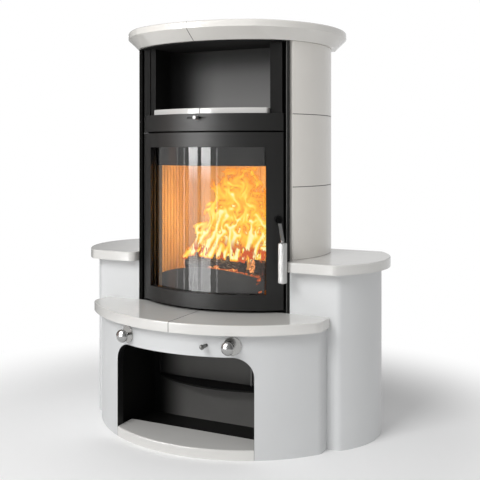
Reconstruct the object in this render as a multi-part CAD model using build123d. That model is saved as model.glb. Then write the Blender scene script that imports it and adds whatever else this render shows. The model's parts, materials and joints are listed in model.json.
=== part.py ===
from build123d import *

import math
import os

os.makedirs("parts", exist_ok=True)

# ---------------------------------------------------------------------------
# Driving dimensions, in mm. Origin: on the floor, in the middle of the stove.
# +Z is up, -Y is the front with the fire door, +Y is the wall behind it.
# ---------------------------------------------------------------------------

# plan
overall_depth = 681.0
bench_radius = 578.5
bench_projection = 296.0
bench_side_depth = 83.5
bench_corner_radius = 60.0
base_overhang = 29.5
base_side_depth = 50.5
base_corner_radius = 32.0
base_wall = 30.0
wing_arc_x = 293.0
wing_arc_setback = 190.0
wing_body_radius = 266.0
wing_slab_radius = 298.0
wing_slab_front_overhang = 42.0
wing_corner_radius = 25.0
wing_wall = 32.0
tile_front_reach = 17.8
tile_setback = 15.0
tile_centre_setback = 200.0
tile_thickness = 25.0
tile_edge_radius = 8.0
door_radius = 445.4
door_centre_setback = 345.4
door_side_gap = 8.5
top_front_overhang = 27.6
top_side_overhang = 12.0
top_rim_front_overhang = 78.6
top_rim_side_overhang = 51.0
top_side_setback = 14.5
top_corner_radius = 60.0

# heights
base_lintel = 76.5
slab_thickness = 33.5
wing_body_height = 586.5
tile_height = 250.7
tile_rows = 3
top_flare_height = 37.0
top_band_height = 24.0
top_edge_radius = 7.0

# masonry openings and edges
store_half_width = 262.7
store_height = 330.0
store_corner_radius = 65.0
store_floor_thickness = 33.0
store_floor_depth = 185.0
slab_edge_radius = 4.0
tile_joint_bevel = 1.6
joint_bevel = 1.2

# steel casing
casing_half_width = 291.0
casing_sheet = 2.0
post_width = 14.0
post_thickness = 3.0
post_fold_radius = 1.8
ceiling_sheet = 3.0
rear_gap = 13.0
bulkhead_setback = 34.0
ceiling_front_inset = 13.0

# fire door
door_floor_gap = 10.0
door_height = 608.0
door_thickness = 22.0
door_stile = 49.5
door_bottom_rail = 52.0
door_top_rail = 51.0
glass_thickness = 4.0
glass_lap = 10.0
glass_clip_length = 40.0
glass_clip_width = 16.0
glass_clip_thickness = 3.0
glass_clip_spacing = 150.0
glass_clip_inset = 2.0
seal_width = 12.0
seal_side_inset = 42.5
seal_end_inset = 18.5
door_pin_side = 9.0
door_pin_inset = 14.7
door_pin_radius = 4.0
door_pin_depth = 24.0
hinge_plate_thickness = 3.0
hinge_plate_reach = 9.0

# fire door handle
spindle_side = 13.5
spindle_rise = 310.0
spindle_radius = 6.0
boss_radius = 13.0
boss_height = 7.0
grip_radius = 15.0
grip_length = 134.0
grip_drop = 74.0
grip_standoff = 58.0
grip_bore_radius = 5.0
arm_width = 11.0
arm_thickness = 7.0
latch_length = 26.0
latch_width = 14.0
latch_thickness = 3.0
latch_gap = 1.0
arm_shank = 9.0
core_end = 3.0
grip_edge_radius = 3.0

# curved air panel above the door, with its slider
panel_floor_gap = 6.0
panel_height = 60.0
panel_sheet = 3.0
slot_left = -41.0
slot_right = 33.0
slot_height = 6.0
slot_drop = 14.5
slider_x = 0.0
slider_stem_width = 9.0
slider_knob_radius = 6.5
slider_knob_length = 23.0
slider_plate_length = 130.0
slider_plate_height = 22.0
slider_plate_thickness = 2.0
slider_knob_gap = 1.0
knob_edge_radius = 1.5

# warming niche
niche_half_width = 231.0
niche_depth = 140.0
niche_corner_radius = 45.0
jamb_side_gap = 11.4
jamb_step_width = 24.6
jamb_step = 4.0
shelf_side_gap = 3.0
shelf_thickness = 20.0
shelf_setback = 16.0
shelf_corner_radius = 10.0

# firebox
firebox_half_width = 240.0
firebox_steel = 4.0
firebox_depth = 268.0
firebox_floor_gap = 6.0
firebox_head_gap = 20.0
seal_depth = 9.4
front_frame_thickness = 6.0
front_frame_lap = 6.0
fire_opening_side = 18.0
fire_opening_sill = 43.0
fire_opening_head_lap = 3.0
lining_thickness = 24.0
lining_floor_thickness = 45.0
lining_height = 450.0
lining_front_gap = 4.0
groove_foot = 6.0
groove_pitch = 22.0
groove_width = 8.0
groove_depth = 3.0
baffle_thickness = 22.0
upper_baffle_gap = 35.0
upper_baffle_way = 75.0
ledge_setback = 87.0
baffle_ledge = 12.0
baffle_ledge_thickness = 3.0
lower_baffle_depth = 150.0
grate_length = 230.0
grate_width = 170.0
grate_thickness = 12.0
grate_rest = 14.0
grate_setback = 104.5
grate_slot_width = 9.0
grate_slots = 9
guard_setback = 10.0
guard_thickness = 5.0
guard_side_gap = 7.0
guard_end_height = 51.0
guard_middle_height = 88.0
log_radius = 33.0
log_spacing = 72.0
front_log_x = 20.0
front_log_setback = 39.5
back_log_x = 15.0
top_log_x = -20.0
log_length = 330.0
top_log_length = 225.0
split_log_radius = 24.0
short_log_x = 162.0
short_log_setback = 15.0
short_log_turn = 8.0
short_log_length = 124.0
lean_log_x = 170.0
lean_log_setback = 66.0
lean_log_height = 127.0
lean_log_back = 16.0
lean_log_side = 3.0
lean_log_length = 236.0

# plinth and wood store
plinth_half_width = 270.0
plinth_sheet = 3.0
plinth_setback = 77.0
plinth_foot_height = 12.0
foot_radius = 20.0
foot_inset = 45.0
foot_stud_radius = 5.0
foot_stud_length = 20.0
ash_sill = 1.0
shelf_plate_z = 147.0
shelf_plate_thickness = 5.0
shelf_plate_reach = 91.0
shelf_plate_radius = 445.0
shelf_plate_half_width = 262.0
liner_sheet = 2.0
liner_ceiling_gap = 8.0

# ash door and pan
ash_door_left = -250.0
ash_door_right = 150.0
ash_door_floor_gap = 5.0
ash_door_height = 138.0
ash_door_thickness = 4.0
ash_door_lap = 10.0
ash_pin_radius = 3.0
ash_pin_side = 3.0
ash_pin_standoff = 2.0
ash_knuckle_radius = 5.0
ash_knuckle_length = 30.0
ash_knuckle_inset = 16.0
ash_knuckle_end = 4.0
ash_door_bevel = 1.0
ash_handle_side = 12.0
ash_handle_rise = 2.0
ash_handle_length = 62.0
ash_handle_radius = 4.0
ash_handle_standoff = 26.0
ash_handle_foot = 8.0
ash_handle_foot_radius = 3.0
pan_left_gap = 42.0
pan_right_gap = 20.0
pan_height = 78.0
pan_depth = 255.0
pan_sheet = 1.5
pan_setback = 2.5

# controls in the base wall
knob_x = 200.0
knob_rise = 38.0
knob_radius = 22.0
knob_half_depth = 11.5
knob_standoff = 37.0
knob_neck_radius = 8.0
knob_neck_length = 3.0
rod_radius = 5.0
rosette_radius = 30.0
rosette_thickness = 3.0
rosette_bevel = 1.2
rosette_seat = 0.05
rosette_play = 0.6
damper_radius = 34.0
damper_thickness = 3.0
damper_gap = 22.0
damper_port_radius = 28.0
damper_hub_radius = 9.0
damper_hub_length = 6.0
riddling_x = 118.0
riddling_ball_radius = 8.5
riddling_collar_radius = 6.5
riddling_collar_length = 18.0
riddling_bore_depth = 2.0
riddling_standoff = 30.0
riddling_plate_thickness = 5.0
riddling_arm_width = 12.0
riddling_travel = 15.0
riddling_side_gap = 2.0
riddling_rim = 8.0

# spigots
flue_bore_radius = 75.0
flue_wall = 3.0
flue_drop = 82.0
air_bore_radius = 62.5
air_wall = 2.0
air_spigot_length = 60.0
air_z = 82.0

# clearances
running_fit = 0.1
moving_gap = 0.3
seat_gap = 0.3
panel_gap = 1.0

# ---------------------------------------------------------------------------
# Places worked out from the dimensions above
# ---------------------------------------------------------------------------

# from front to back
wall_y = overall_depth / 2
bench_centre_y = bench_radius - wall_y
base_radius = bench_radius - base_overhang
wing_front_y = bench_projection - wall_y
wing_arc_y = wing_front_y + wing_arc_setback
tile_front_y = wing_front_y + tile_setback
tile_centre_y = wing_front_y + tile_centre_setback
top_side_centre_y = tile_centre_y + top_side_setback
door_centre_y = wing_front_y + door_centre_setback
store_floor_back_y = store_floor_depth - wall_y
rear_y = wall_y - rear_gap - casing_sheet
bulkhead_y = wing_front_y + bulkhead_setback
niche_back_y = wing_front_y + niche_depth
plinth_front_y = wing_front_y + plinth_setback
firebox_back_y = wing_front_y + firebox_depth
lining_back_y = firebox_back_y - firebox_steel - lining_thickness
front_frame_radius = door_radius - door_thickness - seal_depth
front_frame_inner = front_frame_radius - front_frame_thickness
guard_radius = front_frame_inner - guard_setback
chamber_front_y = door_centre_y - front_frame_inner
ledge_front_y = chamber_front_y + ledge_setback
grate_y = wing_front_y + grate_setback
front_log_y = wing_front_y + front_log_setback
damper_y = plinth_front_y + plinth_sheet + damper_gap
ash_door_back_y = plinth_front_y - moving_gap
ash_door_front_y = ash_door_back_y - ash_door_thickness
ash_pin_y = ash_door_front_y - ash_pin_standoff

# from the middle to the sides
casing_inner_x = casing_half_width - casing_sheet
wing_inner_x = casing_inner_x + post_width + panel_gap
tile_radius = math.hypot(casing_half_width + tile_front_reach, tile_centre_y - tile_front_y)
door_half_width = casing_inner_x - door_side_gap
window_half_width = door_half_width - door_stile
door_pin_x = door_half_width - door_pin_side
spindle_x = door_half_width - spindle_side
jamb_half_width = casing_inner_x - jamb_side_gap
shelf_half_width = niche_half_width - shelf_side_gap
chamber_half_width = firebox_half_width - firebox_steel - lining_thickness
front_frame_half_width = firebox_half_width + front_frame_lap
fire_opening_half_width = firebox_half_width - fire_opening_side
guard_half_width = chamber_half_width - guard_side_gap
liner_half_width = casing_inner_x - panel_gap
ash_pin_x = ash_door_left - ash_pin_side
ash_handle_x = ash_door_right - ash_handle_side

# from the floor up
base_height = store_height + base_lintel
bench_top = base_height + slab_thickness
knob_z = store_height + knob_rise
liner_ceiling_z = store_height + liner_ceiling_gap
wing_top = wing_body_height + slab_thickness
body_top = wing_top + tile_rows * tile_height
door_bottom = bench_top + door_floor_gap
door_top = door_bottom + door_height
window_bottom = door_bottom + door_bottom_rail
window_top = door_top - door_top_rail
spindle_z = door_bottom + spindle_rise
panel_bottom = door_top + panel_floor_gap
panel_top = panel_bottom + panel_height
slot_z = panel_top - slot_drop
firebox_bottom = bench_top + firebox_floor_gap
firebox_top = panel_top - firebox_head_gap
lining_base_z = firebox_bottom + firebox_steel
hearth_z = lining_base_z + lining_floor_thickness
lining_top_z = hearth_z + lining_height
fire_opening_bottom = firebox_bottom + fire_opening_sill
fire_opening_top = lining_top_z - fire_opening_head_lap
upper_baffle_z = lining_top_z + baffle_thickness + upper_baffle_gap
flue_z = firebox_top - flue_drop
ash_door_bottom = shelf_plate_z + shelf_plate_thickness + ash_door_floor_gap
ash_door_top = ash_door_bottom + ash_door_height
ash_floor_z = ash_door_bottom + ash_sill
ash_handle_bottom = ash_door_bottom + ash_handle_rise
ash_handle_top = ash_handle_bottom + ash_handle_length


# ---------------------------------------------------------------------------
# Helpers
# ---------------------------------------------------------------------------

def disc(x, y, radius):
    """A flat circle at (x, y)."""
    return Pos(x, y) * Circle(radius)


def rect(x0, x1, y0, y1):
    """A flat rectangle between two corners."""
    return Pos((x0 + x1) / 2, (y0 + y1) / 2) * Rectangle(x1 - x0, y1 - y0)


def upright(face, z0, z1):
    """A flat outline raised from z0 to z1."""
    return extrude(Pos(0, 0, z0) * face, z1 - z0)


def block(x0, x1, y0, y1, z0, z1):
    """A box between two corners."""
    return upright(rect(x0, x1, y0, y1), z0, z1)


def rod_y(x, z, radius, y0, y1):
    """A round bar along Y."""
    return Pos(x, (y0 + y1) / 2, z) * Rot(90, 0, 0) * Cylinder(radius, y1 - y0)


def rod_z(x, y, radius, z0, z1):
    """A round bar along Z."""
    return Pos(x, y, (z0 + z1) / 2) * Cylinder(radius, z1 - z0)


def edges_at(part, x, y, reach=2.0):
    """The upright edges of a part that pass close to the plan point (x, y)."""
    upright_edges = part.edges().filter_by(Axis.Z)
    return [e for e in upright_edges if math.hypot(e.center().X - x, e.center().Y - y) < reach]


def rim_edges(part, z):
    """The edges of a part that lie flat at height z."""
    flat = [e for e in part.edges() if e.bounding_box().size.Z < 0.02]
    return [e for e in flat if abs(e.bounding_box().min.Z - z) < 0.01]


def arc_y(centre_y, radius, x):
    """Y of the front of a circle about (0, centre_y) at x."""
    return centre_y - math.sqrt(radius**2 - x**2)


def arc_x(centre_y, radius, y):
    """X of the right-hand side of a circle about (0, centre_y) at y."""
    return math.sqrt(radius**2 - (centre_y - y) ** 2)


def joint_cut(top, back_y):
    """Wedge that bevels the upper edges where two plates meet in the middle of the stove."""
    outline = Polygon((0, top + 1), (joint_bevel + 1, top + 1), (0, top - joint_bevel), align=None)
    return extrude(Plane.XZ.offset(-back_y) * outline, back_y + wall_y + 1)


def door_band(outer, thickness, half_width, z0, z1):
    """A curved sheet on the fire door's centre, cut off at the half width."""
    front = rect(-half_width, half_width, door_centre_y - outer - 1, door_centre_y)
    ring = disc(0, door_centre_y, outer) - disc(0, door_centre_y, outer - thickness)
    return upright(ring & front, z0, z1)


def both_sides(name, part):
    """Writes a right-hand part and its mirror image."""
    write(name + "_right", part)
    write(name + "_left", mirror(part, Plane.YZ))


def group(pieces):
    """Separate solids kept together in one node."""
    return Compound(children=[solid for piece in pieces for solid in piece.solids()])


def write(name, part):
    """Writes one node as a STEP file."""
    export_step(part, "parts/" + name + ".step")


# ---------------------------------------------------------------------------
# Masonry base
# ---------------------------------------------------------------------------

def base_front_wall():
    corner_y = wing_front_y - base_side_depth
    half = arc_x(bench_centre_y, base_radius, corner_y)
    outer_face = disc(0, bench_centre_y, base_radius) & rect(-half, half, -wall_y, wing_front_y)
    inner_half = half - base_wall
    inner_disc = disc(0, bench_centre_y, base_radius - base_wall)
    inner_face = inner_disc & rect(-inner_half, inner_half, -wall_y, wing_front_y)
    outer = upright(outer_face, 0, base_height)
    corners = edges_at(outer, half, corner_y) + edges_at(outer, -half, corner_y)
    wall = fillet(corners, base_corner_radius) - upright(inner_face, 0, base_height)
    width = 2 * store_half_width
    arch = Pos(0, store_height / 2) * RectangleRounded(width, store_height, store_corner_radius)
    arch += Pos(0, store_height / 4) * Rectangle(width, store_height / 2)
    wall -= extrude(Plane.XZ * arch, wall_y)
    for x in (-knob_x, knob_x, riddling_x):
        wall -= rod_y(x, knob_z, rod_radius + running_fit, -wall_y, wing_front_y)
    return wall


def bench_slab():
    corner_y = wing_front_y - bench_side_depth
    half = arc_x(bench_centre_y, bench_radius, corner_y)
    face = disc(0, bench_centre_y, bench_radius) & rect(0, half, -wall_y, wing_front_y)
    slab = upright(face, base_height, bench_top)
    slab = fillet(edges_at(slab, half, corner_y), bench_corner_radius)
    edge = [e for e in rim_edges(slab, bench_top) if e.center().Y < wing_front_y - 1 and e.center().X > 1]
    return fillet(edge, slab_edge_radius) - joint_cut(bench_top, wing_front_y)


def wood_store_floor_slab():
    half = store_half_width - seat_gap
    face = disc(0, bench_centre_y, base_radius) & rect(-half, half, -wall_y, store_floor_back_y)
    slab = upright(face, 0, store_floor_thickness)
    front = [e for e in rim_edges(slab, store_floor_thickness) if e.geom_type == GeomType.CIRCLE]
    return fillet(front, slab_edge_radius)


def wing_outline(radius, front_y):
    """Plan of the right wing: one big arc outside, straight front and back, straight beside the stove."""
    return disc(wing_arc_x, wing_arc_y, radius) & rect(wing_inner_x, wing_arc_x + radius, front_y, wall_y)


def wing_corner(radius, front_y):
    return wing_arc_x + math.sqrt(radius**2 - (wing_arc_y - front_y) ** 2), front_y


def wing_body():
    body = upright(wing_outline(wing_body_radius, wing_front_y), 0, wing_body_height)
    body = fillet(edges_at(body, *wing_corner(wing_body_radius, wing_front_y)), wing_corner_radius)
    inner = disc(wing_arc_x, wing_arc_y, wing_body_radius - wing_wall)
    right = wing_arc_x + wing_body_radius
    inner &= rect(wing_inner_x + wing_wall, right, wing_front_y + wing_wall, wall_y - wing_wall)
    return body - upright(inner, 0, wing_body_height)


def wing_slab():
    front_y = wing_front_y - wing_slab_front_overhang
    outline = wing_outline(wing_slab_radius, front_y)
    behind_post = wing_front_y + post_thickness + panel_gap
    outline += rect(casing_half_width + seat_gap, wing_inner_x + 1, behind_post, wall_y)
    slab = upright(outline, wing_body_height, wing_top)
    slab = fillet(edges_at(slab, *wing_corner(wing_slab_radius, front_y)), wing_corner_radius)
    slab = fillet(edges_at(slab, wing_inner_x, front_y), wing_corner_radius)
    rim = rim_edges(slab, wing_top)
    front = [e for e in rim if e.center().Y < behind_post - slab_edge_radius]
    side = [e for e in rim if e.geom_type == GeomType.CIRCLE and e.center().Y > behind_post]
    return fillet(front + side, slab_edge_radius)


# ---------------------------------------------------------------------------
# Tiles and top plate
# ---------------------------------------------------------------------------

def side_tile(row):
    ring = disc(0, tile_centre_y, tile_radius) - disc(0, tile_centre_y, tile_radius - tile_thickness)
    face = ring & rect(casing_half_width + panel_gap, tile_radius + 1, tile_front_y, wall_y)
    bottom = wing_top + row * tile_height
    tile = upright(face, bottom, bottom + tile_height)
    outer_x = arc_x(tile_centre_y, tile_radius, tile_front_y)
    tile = fillet(edges_at(tile, outer_x, tile_front_y), tile_edge_radius)
    rims = rim_edges(tile, bottom) + rim_edges(tile, bottom + tile_height)
    outside = [e for e in rims if e.geom_type == GeomType.CIRCLE and e.radius > tile_radius - 1]
    return chamfer(outside, tile_joint_bevel)


def top_outline(front_overhang, side_overhang):
    """Right half of the top plate's plan: an arc over the door that turns into one over the tiles."""
    side_radius = tile_radius + side_overhang
    half = disc(0, door_centre_y, door_radius + front_overhang) & disc(0, top_side_centre_y, side_radius)
    half &= rect(0, side_radius, -wall_y, wall_y)
    corner = [v for v in half.vertices() if v.X > 1 and v.Y < wall_y - 1]
    return fillet(corner, top_corner_radius)


def top_plate():
    rim_z = body_top + top_flare_height
    top_z = rim_z + top_band_height
    lower = Pos(0, 0, body_top) * top_outline(top_front_overhang, top_side_overhang)
    upper = Pos(0, 0, rim_z) * top_outline(top_rim_front_overhang, top_rim_side_overhang)
    flare = loft([lower.face(), upper.face()], ruled=True)
    band = upright(top_outline(top_rim_front_overhang, top_rim_side_overhang), rim_z, top_z)
    plate = flare + band
    edge = [e for e in rim_edges(plate, top_z) if e.geom_type == GeomType.CIRCLE]
    return fillet(edge, top_edge_radius) - joint_cut(top_z, wall_y + 1)


# ---------------------------------------------------------------------------
# Steel casing and warming niche
# ---------------------------------------------------------------------------

def casing_side():
    """One sheet, folded outwards at the front into the narrow post between the door and the tiles."""
    side = rect(casing_inner_x, casing_half_width, wing_front_y, wall_y - rear_gap)
    post = rect(casing_inner_x, casing_inner_x + post_width, wing_front_y, wing_front_y + post_thickness)
    sheet = upright(side + post, 0, body_top)
    return fillet(edges_at(sheet, casing_inner_x, wing_front_y), post_fold_radius)


def rear_panel():
    panel = block(-casing_inner_x, casing_inner_x, rear_y, rear_y + casing_sheet, 0, body_top)
    panel -= rod_y(0, flue_z, flue_bore_radius + flue_wall + seat_gap, rear_y - 1, wall_y)
    return panel - rod_y(0, air_z, air_bore_radius + air_wall + seat_gap, rear_y - 1, wall_y)


def casing_top():
    outline = disc(0, door_centre_y, door_radius + top_front_overhang - ceiling_front_inset)
    outline &= rect(-casing_inner_x, casing_inner_x, -wall_y, rear_y)
    return upright(outline, body_top - ceiling_sheet, body_top)


def front_bulkhead():
    """The sheet behind the door, cut out for the firebox and, above it, for the warming niche."""
    ceiling = body_top - ceiling_sheet
    x = casing_inner_x
    back_y = bulkhead_y + casing_sheet
    plate = block(-x, x, bulkhead_y, back_y, firebox_bottom, ceiling)
    plate -= block(-firebox_half_width, firebox_half_width, bulkhead_y - 1, back_y + 1, 0, firebox_top)
    niche = niche_half_width + casing_sheet
    return plate - block(-niche, niche, bulkhead_y - 1, back_y + 1, panel_top - panel_sheet, ceiling)


def niche_outline(half_width, back_y, corner):
    """Plan of the niche: open at the front, with two round corners at the back."""
    shape = rect(-half_width, half_width, wing_front_y, back_y - corner)
    shape += rect(-half_width + corner, half_width - corner, wing_front_y, back_y)
    for side in (-1, 1):
        shape += disc(side * (half_width - corner), back_y - corner, corner)
    return shape


def niche_liner():
    t = casing_sheet
    wall = niche_outline(niche_half_width + t, niche_back_y + t, niche_corner_radius + t)
    wall -= niche_outline(niche_half_width, niche_back_y, niche_corner_radius)
    for side in (-1, 1):
        flange = sorted((side * (niche_half_width + t / 2), side * jamb_half_width))
        wall += rect(*flange, wing_front_y, wing_front_y + t)
        jamb = sorted((side * (jamb_half_width - jamb_step_width), side * jamb_half_width))
        wall += rect(*jamb, wing_front_y - jamb_step, wing_front_y + t)
    return upright(wall, panel_top, body_top - ceiling_sheet)


def air_panel():
    panel = door_band(door_radius, panel_sheet, door_half_width, panel_bottom, panel_top)
    floor_face = disc(0, door_centre_y, door_radius)
    floor_face &= rect(-door_half_width, door_half_width, -wall_y, bulkhead_y)
    niche = niche_half_width - panel_gap
    floor_face += rect(-niche, niche, bulkhead_y - 1, niche_back_y)
    panel += upright(floor_face, panel_top - panel_sheet, panel_top)
    side_front = arc_y(door_centre_y, door_radius, door_half_width)
    for x in (-door_half_width, door_half_width - panel_sheet):
        panel += block(x, x + panel_sheet, side_front + panel_sheet, bulkhead_y, panel_bottom, panel_top)
    slot = block(slot_left, slot_right, -wall_y, door_centre_y - door_radius + 2 * panel_sheet,
                 slot_z - slot_height / 2, slot_z + slot_height / 2)
    return panel - slot


def air_slider():
    """Knob, stem through the slot and the curved plate behind it, which swings about the panel's centre."""
    turn = math.degrees(math.asin(slider_x / door_radius))
    place = Pos(0, door_centre_y, slot_z) * Rot(0, 0, turn)
    plate_outer = door_radius - panel_sheet - moving_gap
    ring = Circle(plate_outer) - Circle(plate_outer - slider_plate_thickness)
    half = slider_plate_length / 2
    strip = extrude(ring & rect(-half, half, -door_radius, 0), slider_plate_height / 2, both=True)
    stem_height = slot_height - 2 * panel_gap
    stem_back = -plate_outer + slider_plate_thickness / 2
    knob_back = -door_radius - slider_knob_gap
    stem_length = stem_back - knob_back + 2 * slider_knob_gap
    stem = Pos(0, (stem_back + knob_back) / 2, 0) * Box(slider_stem_width, stem_length, stem_height)
    knob = rod_y(0, 0, slider_knob_radius, knob_back - slider_knob_length, knob_back)
    knob = fillet(knob.edges().filter_by(GeomType.CIRCLE), knob_edge_radius)
    return place * (strip + stem + knob)


def shelf_plate():
    front_radius = door_radius - shelf_setback
    back = niche_back_y - panel_gap
    inner = niche_outline(shelf_half_width, back, niche_corner_radius)
    inner += rect(-shelf_half_width, shelf_half_width, -wall_y, wing_front_y + 1)
    face = inner & disc(0, door_centre_y, front_radius) & rect(0, shelf_half_width, -wall_y, wall_y)
    plate = upright(face, panel_top, panel_top + shelf_thickness)
    front_y = arc_y(door_centre_y, front_radius, shelf_half_width)
    plate = fillet(edges_at(plate, shelf_half_width, front_y), shelf_corner_radius)
    rim = rim_edges(plate, panel_top + shelf_thickness)
    plate = fillet([e for e in rim if e.center().Y < wing_front_y and e.center().X > 1], slab_edge_radius)
    return plate - joint_cut(panel_top + shelf_thickness, niche_back_y)


# ---------------------------------------------------------------------------
# Fire door
# ---------------------------------------------------------------------------

def window(outer, thickness, grow):
    """A curved sheet as large as the door's window, grown on all four sides."""
    return door_band(outer, thickness, window_half_width + grow, window_bottom - grow, window_top + grow)


def door_pin_y():
    return arc_y(door_centre_y, door_radius, door_pin_x) + door_pin_inset


def door_frame():
    frame = door_band(door_radius, door_thickness, door_half_width, door_bottom, door_top)
    frame -= window(door_radius + 1, door_thickness + 2, 0)
    back = door_radius - door_thickness
    rebate = glass_thickness + 2 * seat_gap
    frame -= window(back + rebate, rebate + 1, glass_lap + seat_gap)
    for z in (door_bottom, door_top):
        z0 = max(z - door_pin_depth - 1, door_bottom)
        z1 = min(z + door_pin_depth + 1, door_top)
        frame -= rod_z(-door_pin_x, door_pin_y(), door_pin_radius + running_fit, z0, z1)
    return frame - spindle_bar(spindle_radius + running_fit, -2 * door_thickness, door_thickness)


def door_glass():
    back = door_radius - door_thickness
    return window(back + seat_gap + glass_thickness, glass_thickness, glass_lap)


def door_seal():
    """The rope round the fire opening, between the back of the door and the front frame."""
    half = door_half_width - seal_side_inset
    back = door_radius - door_thickness
    z0 = door_bottom + seal_end_inset
    z1 = door_top - seal_end_inset
    w = seal_width
    ring = door_band(back, seal_depth - moving_gap, half, z0, z1)
    return ring - door_band(back + 1, seal_depth + 2, half - w, z0 + w, z1 - w)


def glass_clips():
    """Flat clips at the window's top and bottom edges, inside the seal, that hold the glass from behind."""
    back = door_radius - door_thickness
    half_x = glass_clip_length / 2
    half_z = glass_clip_width / 2
    inset = glass_lap - glass_clip_inset
    clips = []
    for z in (window_bottom - inset, window_top + inset):
        strip = door_band(back, glass_clip_thickness, window_half_width, z - half_z, z + half_z)
        for x in (-glass_clip_spacing, 0, glass_clip_spacing):
            clips.append(strip & block(x - half_x, x + half_x, -wall_y, wall_y, z - half_z, z + half_z))
    return group(clips)


def door_hinge_pins():
    """Two pins on small plates: one below the door, one in the gap above it."""
    pieces = []
    reach = hinge_plate_reach
    x = -door_pin_x
    y = door_pin_y()
    for z, direction in ((door_bottom, 1), (door_top, -1)):
        near = z - direction * panel_gap
        far = near - direction * hinge_plate_thickness
        plate = block(x - reach, x + reach, y - reach, bulkhead_y, *sorted((near, far)))
        end = z + direction * (door_pin_depth - panel_gap)
        pieces.append(plate + rod_z(x, y, door_pin_radius, *sorted((far, end))))
    return group(pieces)


spindle_angle = math.asin(spindle_x / door_radius)
spindle_normal = Vector(math.sin(spindle_angle), -math.cos(spindle_angle), 0)
spindle_point = Vector(spindle_x, arc_y(door_centre_y, door_radius, spindle_x), spindle_z)
spindle_tangent = Vector(math.cos(spindle_angle), math.sin(spindle_angle), 0)
spindle_plane = Plane(origin=spindle_point, x_dir=spindle_tangent, z_dir=spindle_normal)


def spindle_bar(radius, near, far):
    """A round bar along the spindle, from near to far measured outwards from the door's face."""
    return spindle_plane * Pos(0, 0, (near + far) / 2) * Cylinder(radius, far - near)


def door_handle_arm():
    """Spindle, boss, the slanting arm, the core inside the grip and the latch tongue behind the door."""
    sag = door_radius - math.sqrt(door_radius**2 - boss_radius**2)
    arm = spindle_bar(spindle_radius, -door_thickness - 1, 1)
    arm += spindle_bar(boss_radius, sag, boss_height)
    rise = grip_standoff - boss_height
    fall = grip_drop - arm_shank
    slope = math.degrees(math.atan2(rise, fall))
    length = math.hypot(rise, fall) + arm_thickness / 2
    middle = Pos(0, -fall / 2, boss_height + rise / 2)
    arm += spindle_plane * middle * Rot(-slope, 0, 0) * Box(arm_width, length, arm_thickness)
    core_length = grip_length + arm_shank + core_end
    core_middle = Pos(0, -fall - core_length / 2, grip_standoff) * Rot(90, 0, 0)
    arm += spindle_plane * core_middle * Cylinder(grip_bore_radius, core_length)
    tongue_back = -door_thickness - latch_gap - latch_thickness
    tongue_middle = Pos(latch_length / 2 - spindle_radius, 0, tongue_back + latch_thickness / 2)
    arm += spindle_plane * tongue_middle * Box(latch_length, latch_width, latch_thickness)
    return arm + spindle_bar(spindle_radius, tongue_back, -door_thickness)


def door_handle_grip():
    middle = Pos(0, -grip_drop - grip_length / 2, grip_standoff) * Rot(90, 0, 0)
    grip = fillet(Cylinder(grip_radius, grip_length).edges().filter_by(GeomType.CIRCLE), grip_edge_radius)
    grip -= Cylinder(grip_bore_radius + running_fit, grip_length + 2)
    return spindle_plane * middle * grip


# ---------------------------------------------------------------------------
# Firebox
# ---------------------------------------------------------------------------

def chamber_face(inset):
    """Plan of the firebox, moved inwards by inset at the sides and the back and open to the curved front."""
    half = firebox_half_width - inset
    return rect(-half, half, -wall_y, firebox_back_y - inset) & disc(0, door_centre_y, front_frame_inner)


def grate_opening(grow, z0, z1):
    half_x = grate_length / 2 + grow
    half_y = grate_width / 2 + grow
    return block(-half_x, half_x, grate_y - half_y, grate_y + half_y, z0, z1)


def firebox_shell():
    shell = upright(chamber_face(0), firebox_bottom, firebox_top)
    shell -= upright(chamber_face(firebox_steel), lining_base_z, firebox_top - firebox_steel)
    shell -= grate_opening(-grate_rest, firebox_bottom - 1, lining_base_z + 1)
    shell -= rod_y(0, flue_z, flue_bore_radius + flue_wall, firebox_back_y - 2 * firebox_steel, wall_y)
    inner_x = firebox_half_width - firebox_steel
    ledge_bottom = upper_baffle_z - baffle_ledge_thickness
    for x in (-inner_x, inner_x - baffle_ledge):
        shell += block(x, x + baffle_ledge, ledge_front_y, lining_back_y, ledge_bottom, upper_baffle_z)
    return shell


def firebox_front_frame():
    t = front_frame_thickness
    frame = door_band(front_frame_radius, t, front_frame_half_width, firebox_bottom, firebox_top)
    half = fire_opening_half_width
    return frame - door_band(front_frame_radius + 1, t + 2, half, fire_opening_bottom, fire_opening_top)


def lining_side():
    outer_x = firebox_half_width - firebox_steel - seat_gap
    inner_x = outer_x - lining_thickness
    front_y = arc_y(door_centre_y, front_frame_inner, outer_x) + lining_front_gap
    panel = block(inner_x, outer_x, front_y, lining_back_y - seat_gap, hearth_z, lining_top_z)
    count = int((lining_back_y - front_y) / groove_pitch)
    for i in range(count):
        y = front_y + (i + 0.5) * groove_pitch
        panel -= block(inner_x - 1, inner_x + groove_depth, y, y + groove_width,
                       hearth_z + groove_foot, lining_top_z + 1)
    return panel


def lining_back():
    half = firebox_half_width - firebox_steel - seat_gap
    back_y = lining_back_y + lining_thickness - seat_gap
    panel = block(-half, half, lining_back_y, back_y, hearth_z, lining_top_z)
    count = int(chamber_half_width / groove_pitch)
    for i in range(-count, count + 1):
        x = i * groove_pitch
        panel -= block(x - groove_width / 2, x + groove_width / 2, lining_back_y - 1,
                       lining_back_y + groove_depth, hearth_z + groove_foot, lining_top_z + 1)
    return panel


def lining_floor():
    half = firebox_half_width - firebox_steel - seat_gap
    face = rect(-half, half, -wall_y, firebox_back_y - firebox_steel - seat_gap)
    face &= disc(0, door_centre_y, front_frame_inner - seat_gap)
    floor = upright(face, lining_base_z, hearth_z)
    floor -= grate_opening(-grate_rest, lining_base_z - 1, hearth_z + 1)
    return floor - grate_opening(panel_gap, hearth_z - grate_thickness, hearth_z + 1)


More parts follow.
